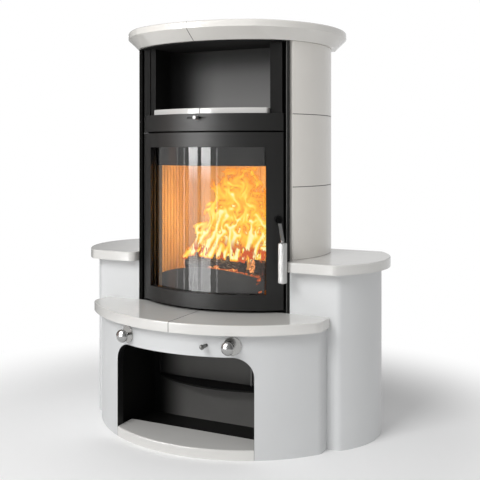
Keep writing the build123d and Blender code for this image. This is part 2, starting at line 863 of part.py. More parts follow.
def baffle_plates():
    """The lower plate lies on the lining with a way at its front, the upper one has its way at the back."""
    half = firebox_half_width - firebox_steel - panel_gap
    lower = block(-half, half, lining_back_y - lower_baffle_depth, firebox_back_y - firebox_steel - seat_gap,
                  lining_top_z, lining_top_z + baffle_thickness)
    face = disc(0, door_centre_y, front_frame_inner - seat_gap)
    face &= rect(-half, half, -wall_y, lining_back_y - upper_baffle_way)
    return group((lower, upright(face, upper_baffle_z, upper_baffle_z + baffle_thickness)))


def grate():
    plate = grate_opening(0, hearth_z - grate_thickness, hearth_z)
    pitch = (grate_length - 2 * grate_rest) / grate_slots
    slot_half = grate_width / 2 - grate_rest
    for i in range(grate_slots):
        x = (i - (grate_slots - 1) / 2) * pitch
        plate -= block(x - grate_slot_width / 2, x + grate_slot_width / 2,
                       grate_y - slot_half, grate_y + slot_half, hearth_z - grate_thickness - 1, hearth_z + 1)
    return plate


def log_guard():
    """A curved plate on edge behind the glass; its top is an arch."""
    top_z = hearth_z + guard_middle_height
    plate = door_band(guard_radius, guard_thickness, guard_half_width, hearth_z, top_z)
    rise = guard_middle_height - guard_end_height
    arch_radius = (guard_half_width**2 + rise**2) / (2 * rise)
    arch = Plane.XZ * (Pos(0, top_z - arch_radius) * Circle(arch_radius))
    return plate & extrude(arch, wall_y)


def firewood():
    """Two logs on the hearth, one on them, a short one across at the right and one leaning in the corner."""
    low = hearth_z + log_radius
    rise = math.sqrt((2 * log_radius) ** 2 - (log_spacing / 2) ** 2)
    along = Rot(0, 90, 0)
    split = split_log_radius
    row = front_log_y
    front = Pos(front_log_x, row, low) * along * Cylinder(log_radius, log_length)
    back = Pos(back_log_x, row + log_spacing, low) * along * Cylinder(log_radius, log_length)
    top = Pos(top_log_x, row + log_spacing / 2, low + rise) * along * Cylinder(log_radius, top_log_length)
    short_z = low + log_radius + split
    short = Pos(short_log_x, row + short_log_setback, short_z) * Rot(90, 0, short_log_turn)
    lean_y = lining_back_y - lean_log_setback
    lean = Pos(lean_log_x, lean_y, hearth_z + lean_log_height) * Rot(-lean_log_back, lean_log_side, 0)
    short_log = short * Cylinder(split, short_log_length)
    lean_log = lean * Cylinder(split, lean_log_length)
    return group((front, back, top, short_log, lean_log))


# ---------------------------------------------------------------------------
# Plinth, wood store and ash compartment
# ---------------------------------------------------------------------------

def plinth_box():
    back = rear_y - panel_gap
    half = plinth_half_width
    front = plinth_front_y + plinth_sheet
    t = plinth_sheet
    box = block(-half, half, front, back, plinth_foot_height, firebox_bottom)
    box -= block(-half + t, half - t, front - 1, back - t, plinth_foot_height + t, firebox_bottom - t)
    box += block(-half + t / 2, half - t / 2, front, back - t / 2, ash_floor_z, ash_floor_z + t)
    box -= grate_opening(-grate_rest, firebox_bottom - t - 1, firebox_bottom + 1)
    box -= rod_y(0, air_z, air_bore_radius + air_wall, back - 2 * t, wall_y)
    for x, y in foot_places():
        box -= rod_z(x, y, foot_stud_radius + running_fit, 0, plinth_foot_height + t + 1)
    return box


def foot_places():
    x = plinth_half_width - foot_inset
    front = plinth_front_y + foot_inset
    back = rear_y - foot_inset
    return [(-x, front), (x, front), (-x, back), (x, back)]


def levelling_feet():
    feet = []
    for x, y in foot_places():
        foot = rod_z(x, y, foot_radius, 0, plinth_foot_height)
        foot += rod_z(x, y, foot_stud_radius, plinth_foot_height / 2, plinth_foot_height + foot_stud_length)
        feet.append(foot)
    return group(feet)


def plinth_front_panel():
    """The panel at the back of the wood store, with the ash door's opening and hinge and the air ports."""
    half = liner_half_width - liner_sheet - seat_gap
    y0 = plinth_front_y
    y1 = y0 + plinth_sheet
    panel = block(-half, half, y0, y1, liner_sheet, firebox_bottom)
    lap = ash_door_lap
    floor_top = ash_floor_z + plinth_sheet
    panel -= block(ash_door_left + lap, ash_door_right - lap, y0 - 1, y1 + 1, floor_top, ash_door_top - lap)
    for x in (-knob_x, knob_x):
        panel -= rod_y(x, knob_z, damper_port_radius, y0 - 1, y1 + 1)
    panel -= rod_y(riddling_x, knob_z, rod_radius + panel_gap, y0 - 1, y1 + 1)
    for z0, z1 in hinge_spans(ash_door_bottom, ash_door_top, -1):
        panel += rod_z(ash_pin_x, ash_pin_y, ash_knuckle_radius, z0, z1)
        panel += block(ash_pin_x - ash_knuckle_radius, ash_pin_x, ash_pin_y, y0 + 1, z0, z1)
    panel += rod_z(ash_pin_x, ash_pin_y, ash_pin_radius, ash_door_bottom, ash_door_top)
    return panel


def hinge_spans(bottom, top, kind):
    """Heights of the ash door's knuckles: kind -1 gives the panel's, kind 1 the door's."""
    low = bottom + ash_knuckle_inset
    high = top - ash_knuckle_inset - ash_knuckle_length
    if kind == 1:
        return [(z, z + ash_knuckle_length) for z in (low, high)]
    fixed_length = ash_knuckle_inset - ash_knuckle_end
    return [(z - fixed_length, z - moving_gap) for z in (low, high)]


def ash_door():
    y0 = ash_door_front_y
    y1 = ash_door_back_y
    leaf = block(ash_door_left, ash_door_right, y0, y1, ash_door_bottom, ash_door_top)
    leaf = chamfer([e for e in leaf.edges() if abs(e.center().Y - y0) < 0.01], ash_door_bevel)
    notch_right = ash_pin_x + ash_knuckle_radius + panel_gap
    for z0, z1 in hinge_spans(ash_door_bottom, ash_door_top, -1):
        leaf -= block(ash_door_left - 1, notch_right, y0 - 1, y1 + 1, z0 - panel_gap, z1 + moving_gap)
    for z0, z1 in hinge_spans(ash_door_bottom, ash_door_top, 1):
        leaf += rod_z(ash_pin_x, ash_pin_y, ash_knuckle_radius, z0, z1)
        leaf += block(ash_pin_x, notch_right, y0, y0 + ash_door_thickness / 2, z0, z1)
    return leaf - rod_z(ash_pin_x, ash_pin_y, ash_pin_radius + running_fit, 0, base_height)


def ash_door_handle():
    out = ash_door_front_y - ash_handle_standoff
    bar = rod_z(ash_handle_x, out, ash_handle_radius, ash_handle_bottom, ash_handle_top)
    bar = fillet(bar.edges().filter_by(GeomType.CIRCLE), knob_edge_radius)
    for z in (ash_handle_bottom + ash_handle_foot, ash_handle_top - ash_handle_foot):
        bar += rod_y(ash_handle_x, z, ash_handle_foot_radius, out, ash_door_front_y)
    return bar


def ash_pan():
    z0 = ash_floor_z + plinth_sheet + moving_gap
    y0 = plinth_front_y + plinth_sheet + pan_setback
    z1 = z0 + pan_height
    x0 = ash_door_left + pan_left_gap
    x1 = ash_door_right - pan_right_gap
    pan = block(x0, x1, y0, y0 + pan_depth, z0, z1)
    t = pan_sheet
    return pan - block(x0 + t, x1 - t, y0 + t, y0 + pan_depth - t, z0 + t, z1 + 1)


def plinth_shelf():
    """The D-shaped plate below the ash door."""
    centre = plinth_front_y - shelf_plate_reach + shelf_plate_radius
    half = shelf_plate_half_width
    face = disc(0, centre, shelf_plate_radius) & rect(-half, half, -wall_y, plinth_front_y)
    return upright(face, shelf_plate_z, shelf_plate_z + shelf_plate_thickness)


def wood_store_liner():
    half = liner_half_width
    t = liner_sheet
    front = disc(0, bench_centre_y, base_radius - base_wall - panel_gap)
    top = liner_ceiling_z + t
    shell = upright(front & rect(-half, half, -wall_y, plinth_front_y), 0, top)
    shell -= block(-half + t, half - t, -wall_y, plinth_front_y + 1, t, liner_ceiling_z)
    shell -= block(-half - 1, half + 1, -wall_y, store_floor_back_y + seat_gap, -1, t)
    for x in (-half, half - t):
        shell += block(x, x + t, plinth_front_y - 1, plinth_front_y + plinth_sheet, 0, top)
    return shell


# ---------------------------------------------------------------------------
# Controls and spigots
# ---------------------------------------------------------------------------

def air_knob(side):
    """Flattened chrome ball on its rod, which runs back through the base wall to the air port in the plinth."""
    x = side * knob_x
    face = arc_y(bench_centre_y, base_radius, knob_x)
    ball_y = face - knob_standoff
    half = Ellipse(knob_radius, knob_half_depth) & rect(0, knob_radius, -knob_half_depth, knob_half_depth)
    knob = Pos(x, ball_y, knob_z) * revolve(half, Axis.Y)
    neck = rod_y(x, knob_z, knob_neck_radius, ball_y, ball_y + knob_half_depth + knob_neck_length)
    rod_end = damper_y + damper_thickness + damper_hub_length
    return knob + neck + rod_y(x, knob_z, rod_radius, ball_y, rod_end)


def air_damper(side):
    """The disc on the knob's rod that stands behind the air port, with its hub."""
    x = side * knob_x
    back = damper_y + damper_thickness
    plate = rod_y(x, knob_z, damper_radius, damper_y, back)
    plate += rod_y(x, knob_z, damper_hub_radius, damper_y - damper_hub_length, back)
    return plate - rod_y(x, knob_z, rod_radius + running_fit, plinth_front_y, back + 1)


def control_rosettes():
    pieces = []
    for side in (-1, 1):
        angle = math.asin(side * knob_x / base_radius)
        face = arc_y(bench_centre_y, base_radius, knob_x)
        normal = Vector(math.sin(angle), -math.cos(angle), 0)
        plane = Plane(origin=(side * knob_x, face, knob_z), z_dir=normal)
        ring = Cylinder(rosette_radius, rosette_thickness)
        ring = chamfer(ring.edges().filter_by(GeomType.CIRCLE).sort_by(Axis.Z)[-1], rosette_bevel)
        ring = plane * Pos(0, 0, rosette_thickness / 2 + rosette_seat) * ring
        ring -= rod_y(side * knob_x, knob_z, rod_radius + rosette_play, -wall_y, wing_front_y)
        pieces.append(ring)
    return group(pieces)


def riddling_knob():
    face = arc_y(bench_centre_y, base_radius, riddling_x)
    ball_y = face - riddling_standoff
    knob = Pos(riddling_x, ball_y, knob_z) * Sphere(riddling_ball_radius)
    knob += rod_y(riddling_x, knob_z, riddling_collar_radius, ball_y, ball_y + riddling_collar_length)
    bore_start = ball_y + riddling_bore_depth
    return knob - rod_y(riddling_x, knob_z, rod_radius + running_fit, bore_start, face)


def riddling_bar():
    """Rod from the knob, a cranked arm and the slotted plate that shakes under the grate."""
    face = arc_y(bench_centre_y, base_radius, riddling_x)
    start = face - riddling_standoff + riddling_bore_depth + moving_gap
    plate_top = hearth_z - grate_thickness - moving_gap
    plate_bottom = plate_top - riddling_plate_thickness
    arm_half = riddling_arm_width / 2
    half_x = grate_length / 2 - grate_rest - riddling_side_gap
    half_y = grate_width / 2 - grate_rest - riddling_travel - riddling_side_gap
    arm_x = half_x - riddling_arm_width
    bar = rod_y(riddling_x, knob_z, rod_radius, start, grate_y + arm_half)
    bar += block(arm_x, riddling_x + rod_radius, grate_y - arm_half, grate_y + arm_half,
                 knob_z - rod_radius, knob_z + rod_radius)
    bar += block(arm_x, half_x, grate_y - arm_half, grate_y + arm_half, knob_z, plate_top)
    bar += block(-half_x, half_x, grate_y - half_y, grate_y + half_y, plate_bottom, plate_top)
    pitch = (grate_length - 2 * grate_rest) / grate_slots
    slot_half = half_y - riddling_rim
    for i in range(grate_slots - 1):
        x = (i - (grate_slots - 2) / 2) * pitch
        if x < arm_x - grate_slot_width:
            bar -= block(x - grate_slot_width / 2, x + grate_slot_width / 2,
                         grate_y - slot_half, grate_y + slot_half, plate_bottom - 1, plate_top + 1)
    return bar


def flue_spigot():
    y0 = firebox_back_y - firebox_steel
    tube = rod_y(0, flue_z, flue_bore_radius + flue_wall, y0, wall_y)
    return tube - rod_y(0, flue_z, flue_bore_radius, y0 - 1, wall_y + 1)


def air_inlet_spigot():
    y0 = wall_y - air_spigot_length
    tube = rod_y(0, air_z, air_bore_radius + air_wall, y0, wall_y)
    return tube - rod_y(0, air_z, air_bore_radius, y0 - 1, wall_y + 1)


# ---------------------------------------------------------------------------
# The nodes
# ---------------------------------------------------------------------------

write("base_front_wall", base_front_wall())
both_sides("bench_slab", bench_slab())
write("wood_store_floor_slab", wood_store_floor_slab())
both_sides("wing_body", wing_body())
both_sides("wing_slab", wing_slab())
for row, row_name in enumerate(("lower", "middle", "upper")):
    both_sides("side_tile_" + row_name, side_tile(row))
both_sides("top_plate", top_plate())
both_sides("shelf_plate", shelf_plate())
both_sides("casing_side", casing_side())
write("rear_panel", rear_panel())
write("casing_top", casing_top())
write("front_bulkhead", front_bulkhead())
write("niche_liner", niche_liner())
write("air_panel", air_panel())
write("air_slider", air_slider())
write("door_frame", door_frame())
write("door_glass", door_glass())
write("door_seal", door_seal())
write("glass_clips", glass_clips())
write("door_hinge_pins", door_hinge_pins())
write("door_handle_arm", door_handle_arm())
write("door_handle_grip", door_handle_grip())
write("firebox_shell", firebox_shell())
write("firebox_front_frame", firebox_front_frame())
both_sides("lining", lining_side())
write("lining_back", lining_back())
write("lining_floor", lining_floor())
write("baffle_plates", baffle_plates())
write("grate", grate())
write("log_guard", log_guard())
write("firewood", firewood())
write("plinth_box", plinth_box())
write("levelling_feet", levelling_feet())
write("plinth_front_panel", plinth_front_panel())
write("plinth_shelf", plinth_shelf())
write("wood_store_liner", wood_store_liner())
write("ash_door", ash_door())
write("ash_door_handle", ash_door_handle())
write("ash_pan", ash_pan())
for side, side_name in ((-1, "left"), (1, "right")):
    write(side_name + "_air_knob", air_knob(side))
    write(side_name + "_air_damper", air_damper(side))
write("control_rosettes", control_rosettes())
write("riddling_knob", riddling_knob())
write("riddling_bar", riddling_bar())
write("flue_spigot", flue_spigot())
write("air_inlet_spigot", air_inlet_spigot())
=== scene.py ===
import json
import math

import bpy
import numpy as np
from mathutils import Matrix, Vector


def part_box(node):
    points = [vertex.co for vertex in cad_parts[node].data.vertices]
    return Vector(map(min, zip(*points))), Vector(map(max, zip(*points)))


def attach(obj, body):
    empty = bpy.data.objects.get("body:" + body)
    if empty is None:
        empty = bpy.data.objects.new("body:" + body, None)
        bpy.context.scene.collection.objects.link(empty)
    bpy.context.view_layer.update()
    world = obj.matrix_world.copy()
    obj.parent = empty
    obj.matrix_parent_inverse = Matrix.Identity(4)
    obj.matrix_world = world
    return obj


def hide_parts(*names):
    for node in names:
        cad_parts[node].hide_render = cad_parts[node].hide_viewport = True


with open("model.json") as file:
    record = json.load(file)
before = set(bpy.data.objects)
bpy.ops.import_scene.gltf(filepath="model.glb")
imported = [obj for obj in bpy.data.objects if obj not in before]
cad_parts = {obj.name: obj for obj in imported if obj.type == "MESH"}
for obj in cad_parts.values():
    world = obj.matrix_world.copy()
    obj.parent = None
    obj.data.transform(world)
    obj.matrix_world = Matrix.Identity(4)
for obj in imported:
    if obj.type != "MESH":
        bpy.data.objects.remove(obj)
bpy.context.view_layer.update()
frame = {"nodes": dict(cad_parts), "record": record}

# A tiled stove with its fire lit: finishes for the CAD nodes, then logs, coals, flames and small trim, and
# last the floor, a room that only reflections see, lamps and the photograph's camera.

nodes = frame["nodes"]

# ---------------------------------------------------------------------------
# Sizes and places, in metres. +Z is up, -Y is the front, X runs to the right.
# ---------------------------------------------------------------------------

CAMERA_PLACE = (1.3595, -2.5965, 1.000)
CAMERA_TURN = math.radians(25.99)
CAMERA_LENS = 60.68
CAMERA_SHIFT = -0.189

ROOT = "stove_body"

# The fire door is a part of a cylinder round a point behind it.
DOOR_CENTRE_Y, DOOR_RADIUS = 0.3009, 0.4454

# The tiles' faces are parts of a cylinder round a point in the middle of their depth.
TILE_LOW, TILE_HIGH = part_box("side_tile_middle_left")
TILE_RADIUS = -TILE_LOW.x
TILE_CENTRE_Y = (TILE_LOW.y + TILE_HIGH.y) / 2

HEARTH_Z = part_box("lining_floor")[1].z
BAFFLE_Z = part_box("baffle_plates")[0].z

# Half width, height and corner radius of the wood store's arch.
ARCH = (0.2627, 0.330, 0.065)

# Stretches along one axis over which one tone turns into another.
SEAM_X, SEAM_Z = (0.0010, 0.0014), (0.10, 0.20)
# On the niche's back, painted light grows to the right over the first stretch, the back sheet begins over the
# second, and a painted shadow dims the top over the third.
NICHE_LIT_X, NICHE_BACK_Y, NICHE_SHADE_Z = (-0.20, -0.03), (0.030, 0.085), (1.260, 1.365)
# Painted shade on the wood store's steel, near black to the left of this stretch.
STORE_SHADE_X = (-0.26, -0.13)
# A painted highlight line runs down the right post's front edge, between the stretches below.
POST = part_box("casing_side_right")[0]
POST_LEFT_X, POST_RIGHT_X = (POST.x + 0.0024, POST.x + 0.0028), (POST.x + 0.0042, POST.x + 0.0046)
POST_FRONT_Y = (POST.y, POST.y + 0.0010)
LINING_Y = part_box("lining_right")[0].y
LINING_EDGE_Y = (LINING_Y + 0.0013, LINING_Y + 0.0021)
RED_FLAMES_Z = (HEARTH_Z + 0.140, HEARTH_Z + 0.195)
ARM_BLACK_Z = (0.7475, 0.7485)
BURNING_END_Y = (-0.049, -0.046)

# How far in front of the door's cylinder the slider's knob begins and its bright face lies.
KNOB_START, KNOB_FACE = (0.0, 0.0008), (0.0230, 0.0238)

ROOM_X, ROOM_Y, ROOM_RADIUS, ROOM_TOP = 0.01, -0.14, 2.2, 2.6
WINDOW_LIGHT = 14.0
AMBIENT_LIGHT = 0.46


# ---------------------------------------------------------------------------
# Shader tools
# ---------------------------------------------------------------------------

def grey(tone):
    """A colour whose three values are the same."""
    return (tone, tone, tone)


class Wire:
    """An output socket. Arithmetic on it adds Math nodes, so a mask is written as a formula."""

    def __init__(self, board, socket):
        self.board = board
        self.socket = socket

    def math(self, operation, first, second=0.0):
        """A Math node over two values."""
        return self.board.node("ShaderNodeMath", {"operation": operation}, {0: first, 1: second})

    def __add__(self, other):
        return self.math("ADD", self, other)

    def __radd__(self, other):
        return self.math("ADD", other, self)

    def __sub__(self, other):
        return self.math("SUBTRACT", self, other)

    def __rsub__(self, other):
        return self.math("SUBTRACT", other, self)

    def __mul__(self, other):
        return self.math("MULTIPLY", self, other)

    def __pow__(self, power):
        return self.math("POWER", self, power)

    def at_least(self, other):
        return self.math("MAXIMUM", self, other)

    def size(self):
        """The value without its sign."""
        return self.math("ABSOLUTE", self)

    def step(self, low, high):
        """0 below low, 1 above high and a smooth rise between them."""
        sockets = {"Value": self, "From Min": low, "From Max": high}
        return self.board.node("ShaderNodeMapRange", {"interpolation_type": "SMOOTHSTEP"}, sockets)


class Board:
    """A node tree: node() adds any node, and the other methods add the usual ones."""

    def __init__(self, tree):
        self.tree = tree

    def plug(self, socket, value):
        """Links a wire to a socket, or sets the socket; a colour is given without its alpha."""
        if isinstance(value, Wire):
            self.tree.links.new(value.socket, socket)
        elif socket.type == "RGBA":
            socket.default_value = (*value, 1.0)
        else:
            socket.default_value = value

    def node(self, kind, settings=None, sockets=None, output=0):
        """Adds a node: its settings first, where stops are a ramp's, then its sockets."""
        made = self.tree.nodes.new(kind)
        for name, value in (settings or {}).items():
            if name == "stops":
                ramp = made.color_ramp.elements
                while len(ramp) < len(value):
                    ramp.new(0.5)
                for element, (place, colour) in zip(ramp, value):
                    element.position = place
                    element.color = (*colour, 1.0)
            else:
                setattr(made, name, value)
        for name, value in (sockets or {}).items():
            self.plug(made.inputs[name], value)
        return Wire(self, made.outputs[output])

    def mix(self, factor, first, second, blend="MIX"):
        """A colour between two colours."""
        settings = {"data_type": "RGBA", "blend_type": blend}
        return self.node("ShaderNodeMix", settings, {0: factor, 6: first, 7: second}, output=2)

    def ramp(self, factor, stops):
        """A colour from a row of (place, colour) stops."""
        return self.node("ShaderNodeValToRGB", {"stops": stops}, {0: factor})

    def vector(self, x, y, z=0.0):
        """A vector or a colour made of three values."""
        return self.node("ShaderNodeCombineXYZ", {}, {0: x, 1: y, 2: z})

    def length(self, vector):
        """The length of a vector."""
        return self.node("ShaderNodeVectorMath", {"operation": "LENGTH"}, {0: vector}, output="Value")

    def ray(self, kind):
        """1 for rays of a kind, such as Camera, Glossy or Transmission."""
        return self.node("ShaderNodeLightPath", output=f"Is {kind} Ray")

    def glow(self, colour):
        """An emission of a colour."""
        return self.node("ShaderNodeEmission", {}, {"Color": colour, "Strength": 1.0})


class Finish(Board):
    """A material: its Principled shader, and patterns that read Object coordinates in metres."""

    def __init__(self, name, sockets):
        self.material = bpy.data.materials.new(name)
        self.material.use_nodes = True
        super().__init__(self.material.node_tree)
        self.shader = self.tree.nodes["Principled BSDF"]
        self.output = self.tree.nodes["Material Output"]
        self.place = self.node("ShaderNodeTexCoord", output="Object")
        self.set(sockets)

    def set(self, sockets):
        """Plugs values into the Principled shader."""
        for name, value in sockets.items():
            self.plug(self.shader.inputs[name], value)

    def show(self, shader):
        """Puts a shader in place of the Principled one."""
        self.plug(self.output.inputs["Surface"], shader)

    def axis(self, letter):
        """One Object coordinate."""
        return self.node("ShaderNodeSeparateXYZ", {}, {0: self.place}, output=letter)

    def stretched(self, scale):
        """Object coordinates multiplied by a scale for each axis."""
        sockets = {"Vector": self.place, "Scale": scale}
        return self.node("ShaderNodeMapping", {"vector_type": "POINT"}, sockets)

    def noise(self, size, detail, roughness, vector=None, distortion=0.0):
        """Smooth noise about 0.5 whose features are about size metres wide."""
        sockets = {"Vector": vector or self.place, "Scale": 1.0 / size, "Detail": detail,
                   "Roughness": roughness, "Distortion": distortion}
        return self.node("ShaderNodeTexNoise", {}, sockets)

    def cells(self, size, feature="F1", vector=None):
        """Distance in a pattern of cells about size metres wide."""
        sockets = {"Vector": vector or self.place, "Scale": 1.0 / size}
        return self.node("ShaderNodeTexVoronoi", {"feature": feature}, sockets)

    def shade(self, colour, light, dark, amount):
        """A colour that drifts between a lighter and a darker tone of itself as amount goes from 1 to 0."""
        bright = tuple(min(1.0, c * light) for c in colour)
        dim = tuple(c * dark for c in colour)
        return self.mix(amount, dim, bright)

    def bump(self, height, strength, distance):
        """A normal that follows a relief whose full height is distance metres."""
        return self.node("ShaderNodeBump", {}, {"Height": height, "Strength": strength, "Distance": distance})


def dress(finish, *names):
    """Puts a finish on CAD nodes."""
    for name in names:
        slots = nodes[name].data.materials
        slots.clear()
        slots.append(finish.material)


# ---------------------------------------------------------------------------
# Finishes
# ---------------------------------------------------------------------------

def plaster(name, tone, arch=None):
    """Off-white mineral plaster, rubbed smooth: fine grain and faint trowel waves.

    Where arch gives the half width, height and corner radius of an opening, its reveal is lined in black: the
    lining lies where the distance to the round corner's centre lines is no more than the corner radius.
    """
    finish = Finish(name, {"Specular IOR Level": 0.45})
    grain = finish.noise(0.0011, 3.0, 0.6)
    clouds = finish.noise(0.16, 3.0, 0.5)
    waves = finish.noise(0.035, 2.0, 0.4)
    white = (0.660 * tone, 0.668 * tone, 0.672 * tone)
    colour = finish.shade(white, 1.035, 0.965, grain * 0.45 + clouds * 0.55)
    if arch:
        half_width, height, corner = arch
        beside = (finish.axis("X").size() - (half_width - corner)).at_least(0.0)
        above = (finish.axis("Z") - (height - corner)).at_least(0.0)
        outside = (beside * beside + above * above) ** 0.5 - corner
        colour = finish.mix(outside.step(0.0004, 0.0010), grey(0.004), colour)
    finish.set({
        "Base Color": colour,
        "Roughness": 0.36 + grain * 0.22,
        "Normal": finish.bump(grain * 0.5 + waves * 2.5, 0.5, 0.0003),
    })
    return finish


def glaze(name, colour, roughness, mottle, jointed=False):
    """Fired glaze over clay: faint clouding, rare specks and a slow waviness that bends reflections.

    jointed fills the joint between two halves that meet in the middle of the stove, above the floor slab.
    """
    finish = Finish(name, {"Coat Roughness": 0.05, "IOR": 1.5})
    clouds = finish.noise(0.05, 4.0, 0.55)
    fine = finish.noise(0.004, 2.0, 0.5)
    specks = 1.0 - finish.cells(0.013).step(0.03, 0.06)
    tone = clouds * (0.5 + mottle) + fine * (0.5 - mottle) - specks * 0.25
    waves = finish.noise(0.045, 1.0, 0.3)
    glazed = 1.0
    base = finish.shade(colour, 1.03, 0.955, tone)
    if jointed:
        beside = finish.axis("X").size().step(*SEAM_X)
        glazed = 1.0 - (1.0 - beside) * finish.axis("Z").step(*SEAM_Z)
        base = finish.mix(glazed, (0.07, 0.065, 0.06), base)
    finish.set({
        "Base Color": base,
        "Roughness": roughness + fine * 0.06,
        "Coat Weight": (0.35 + clouds * 0.2) * glazed,
        "Normal": finish.bump(waves + fine * 0.03, 0.35, 0.0006),
    })
    return finish


def black_steel(name, tone, roughness, gloss, painted_light_back=False, painted_highlight=False, painted_shade_left=False):
    """Sheet steel in a heat-proof lacquer with a very fine grain.

    The three switches after gloss paint light and shade. The first paints light on the niche's back sheet:
    near black at the left, grey towards the right and darker again at the top under a painted shadow. The
    second paints a highlight line along the post's front edge. The third paints shade over the left end,
    blackening it.
    """
    finish = Finish(name, {"IOR": 1.5, "Specular IOR Level": gloss})
    grain = finish.noise(0.0007, 2.0, 0.6)
    drift = finish.noise(0.12, 2.0, 0.5)
    colour = finish.shade((tone, tone * 0.98, tone * 0.94), 1.15, 0.85, grain * 0.5 + drift * 0.5)
    # Painted light: the niche's back sheet turns from near black at the left, in the shade of the niche's left
    # wall, to light grey at the right, where the key light falls; its top is dimmed as a painted shadow of the
    # top plate.
    if painted_light_back:
        pits_and_painted_light = finish.mix(finish.axis("X").step(*NICHE_LIT_X), grey(0.010), (0.180, 0.179, 0.177))
        lit = finish.axis("Y").step(*NICHE_BACK_Y) * (1.0 - finish.axis("Z").step(*NICHE_SHADE_Z) * 0.75)
        colour = finish.mix(lit, colour, pits_and_painted_light)
    # Painted shade: the steel turns near black towards the left end.
    if painted_shade_left:
        colour = finish.mix(finish.axis("X").step(*STORE_SHADE_X), grey(0.004), colour)
    # Painted highlight: a thin lighter line down the post's front edge, where its rounded edge catches the
    # light.
    if painted_highlight:
        across = finish.axis("X").step(*POST_LEFT_X) * (1.0 - finish.axis("X").step(*POST_RIGHT_X))
        edge = across * (1.0 - finish.axis("Y").step(*POST_FRONT_Y))
        colour = finish.mix(edge, colour, (0.12, 0.118, 0.114))
    finish.set({
        "Base Color": colour,
        "Roughness": roughness + grain * 0.1 + drift * 0.05,
        "Normal": finish.bump(grain, 0.35, 0.00012),
    })
    return finish


def cast_iron():
    """Sand-cast iron blackened by soot."""
    finish = Finish("cast_iron", {"IOR": 1.5})
    sand = finish.noise(0.0016, 4.0, 0.65)
    soot = finish.noise(0.03, 3.0, 0.6)
    ash = soot.step(0.55, 0.75)
    finish.set({
        "Base Color": finish.mix(ash * 0.35, (0.035, 0.034, 0.033), (0.16, 0.15, 0.14)),
        "Roughness": 0.5 + sand * 0.25,
        "Normal": finish.bump(sand, 0.6, 0.0004),
    })
    return finish


def fireclay():
    """Pressed fireclay slabs: pale and sandy, with drifts of smoke and a darker brown strip along the front
    edge.
    """
    finish = Finish("fireclay", {"Specular IOR Level": 0.2})
    sand = finish.noise(0.0014, 3.0, 0.7)
    smoke = finish.noise(0.07, 4.0, 0.6, vector=finish.stretched((1.0, 1.0, 0.35)))
    pits = 1.0 - finish.cells(0.006).step(0.08, 0.16)
    pale = finish.mix(smoke.step(0.3, 0.75), (0.64, 0.45, 0.21), (0.78, 0.60, 0.32))
    pits_and_painted_light = finish.mix(pits * 0.15, pale, (0.28, 0.20, 0.12))
    finish.set({
        "Base Color": finish.mix(finish.axis("Y").step(*LINING_EDGE_Y), (0.36, 0.24, 0.13), pits_and_painted_light),
        "Roughness": 0.75 + sand * 0.2,
        "Normal": finish.bump(sand - pits * 0.5, 0.5, 0.0006),
    })
    return finish


def door_glass():
    """Clear ceramic glass, hardly tinted, with a faint haze of smoke that makes its gloss uneven."""
    finish = Finish("door_glass", {"Transmission Weight": 1.0, "IOR": 1.5})
    haze = finish.noise(0.09, 3.0, 0.55, vector=finish.stretched((1.0, 1.0, 0.4)))
    finish.set({
        "Base Color": (0.985, 0.975, 0.96),
        "Roughness": haze.step(0.55, 0.95) * 0.05,
    })
    return finish


def seal_rope():
    """Plaited glass-fibre rope, greyed by soot."""
    finish = Finish("seal_rope", {"Roughness": 0.95})
    fibres = finish.noise(0.0015, 2.0, 0.6, vector=finish.stretched((1.0, 1.0, 0.4)))
    finish.set({
        "Base Color": finish.shade((0.055, 0.052, 0.05), 1.4, 0.6, fibres),
        "Normal": finish.bump(fibres, 0.8, 0.0008),
    })
    return finish


def bare_metal(name, colour, roughness, depth, stretch=(1.0, 1.0, 1.0), black_above=None):
    """Bare metal whose fine scratches are longer along an axis with a smaller stretch.

    The metal is blackened above the stretch of Z that black_above gives.
    """
    finish = Finish(name, {"Metallic": 1.0})
    scratches = finish.noise(0.0006, 2.0, 0.6, vector=finish.stretched(stretch))
    smudges = finish.noise(0.02, 3.0, 0.5)
    tone = finish.shade(colour, 1.06, 0.92, scratches * 0.6 + smudges * 0.4)
    if black_above:
        tone = finish.mix(finish.axis("Z").step(*black_above), tone, grey(0.015))
    finish.set({
        "Base Color": tone,
        "Roughness": roughness + scratches * 0.08 + smudges * 0.05,
        "Normal": finish.bump(scratches, 0.3, depth),
    })
    return finish


def charred_wood(name, glowing_end=None):
    """Burning wood: black char split into small blocks, with pale ash on its ridges and embers in its cracks.

    In front of the stretch of Y that glowing_end gives, the cut end glows.
    """
    finish = Finish(name, {"Specular IOR Level": 0.3, "Emission Strength": 1.1})
    along = finish.stretched((0.45, 1.0, 1.0))
    cracks = finish.cells(0.009, "DISTANCE_TO_EDGE", vector=along)
    grain = finish.noise(0.0022, 4.0, 0.75, vector=finish.stretched((0.30, 1.0, 1.0)))
    scratches = finish.noise(0.0045, 3.0, 0.7, vector=finish.stretched((0.35, 1.0, 0.8)))
    patches = finish.noise(0.035, 3.0, 0.6)
    ash = grain.step(0.46, 0.64) * scratches.step(0.43, 0.58)
    glow = (1.0 - cracks.step(0.015, 0.06)) * patches.step(0.58, 0.70)
    ember = finish.mix(glow, grey(0.0), (1.0, 0.16, 0.02))
    if glowing_end:
        cut = 1.0 - finish.axis("Y").step(*glowing_end)
        ember = finish.mix(cut * scratches.step(0.38, 0.55), ember, (1.0, 0.36, 0.10))
    finish.set({
        "Base Color": finish.mix(ash * 0.9, (0.022, 0.020, 0.019), (0.46, 0.45, 0.43)),
        "Roughness": 0.62 + grain * 0.3,
        "Emission Color": ember,
        "Normal": finish.bump(cracks.step(0.0, 0.22) * 0.8 + grain * 0.8, 1.0, 0.0022),
    })
    return finish


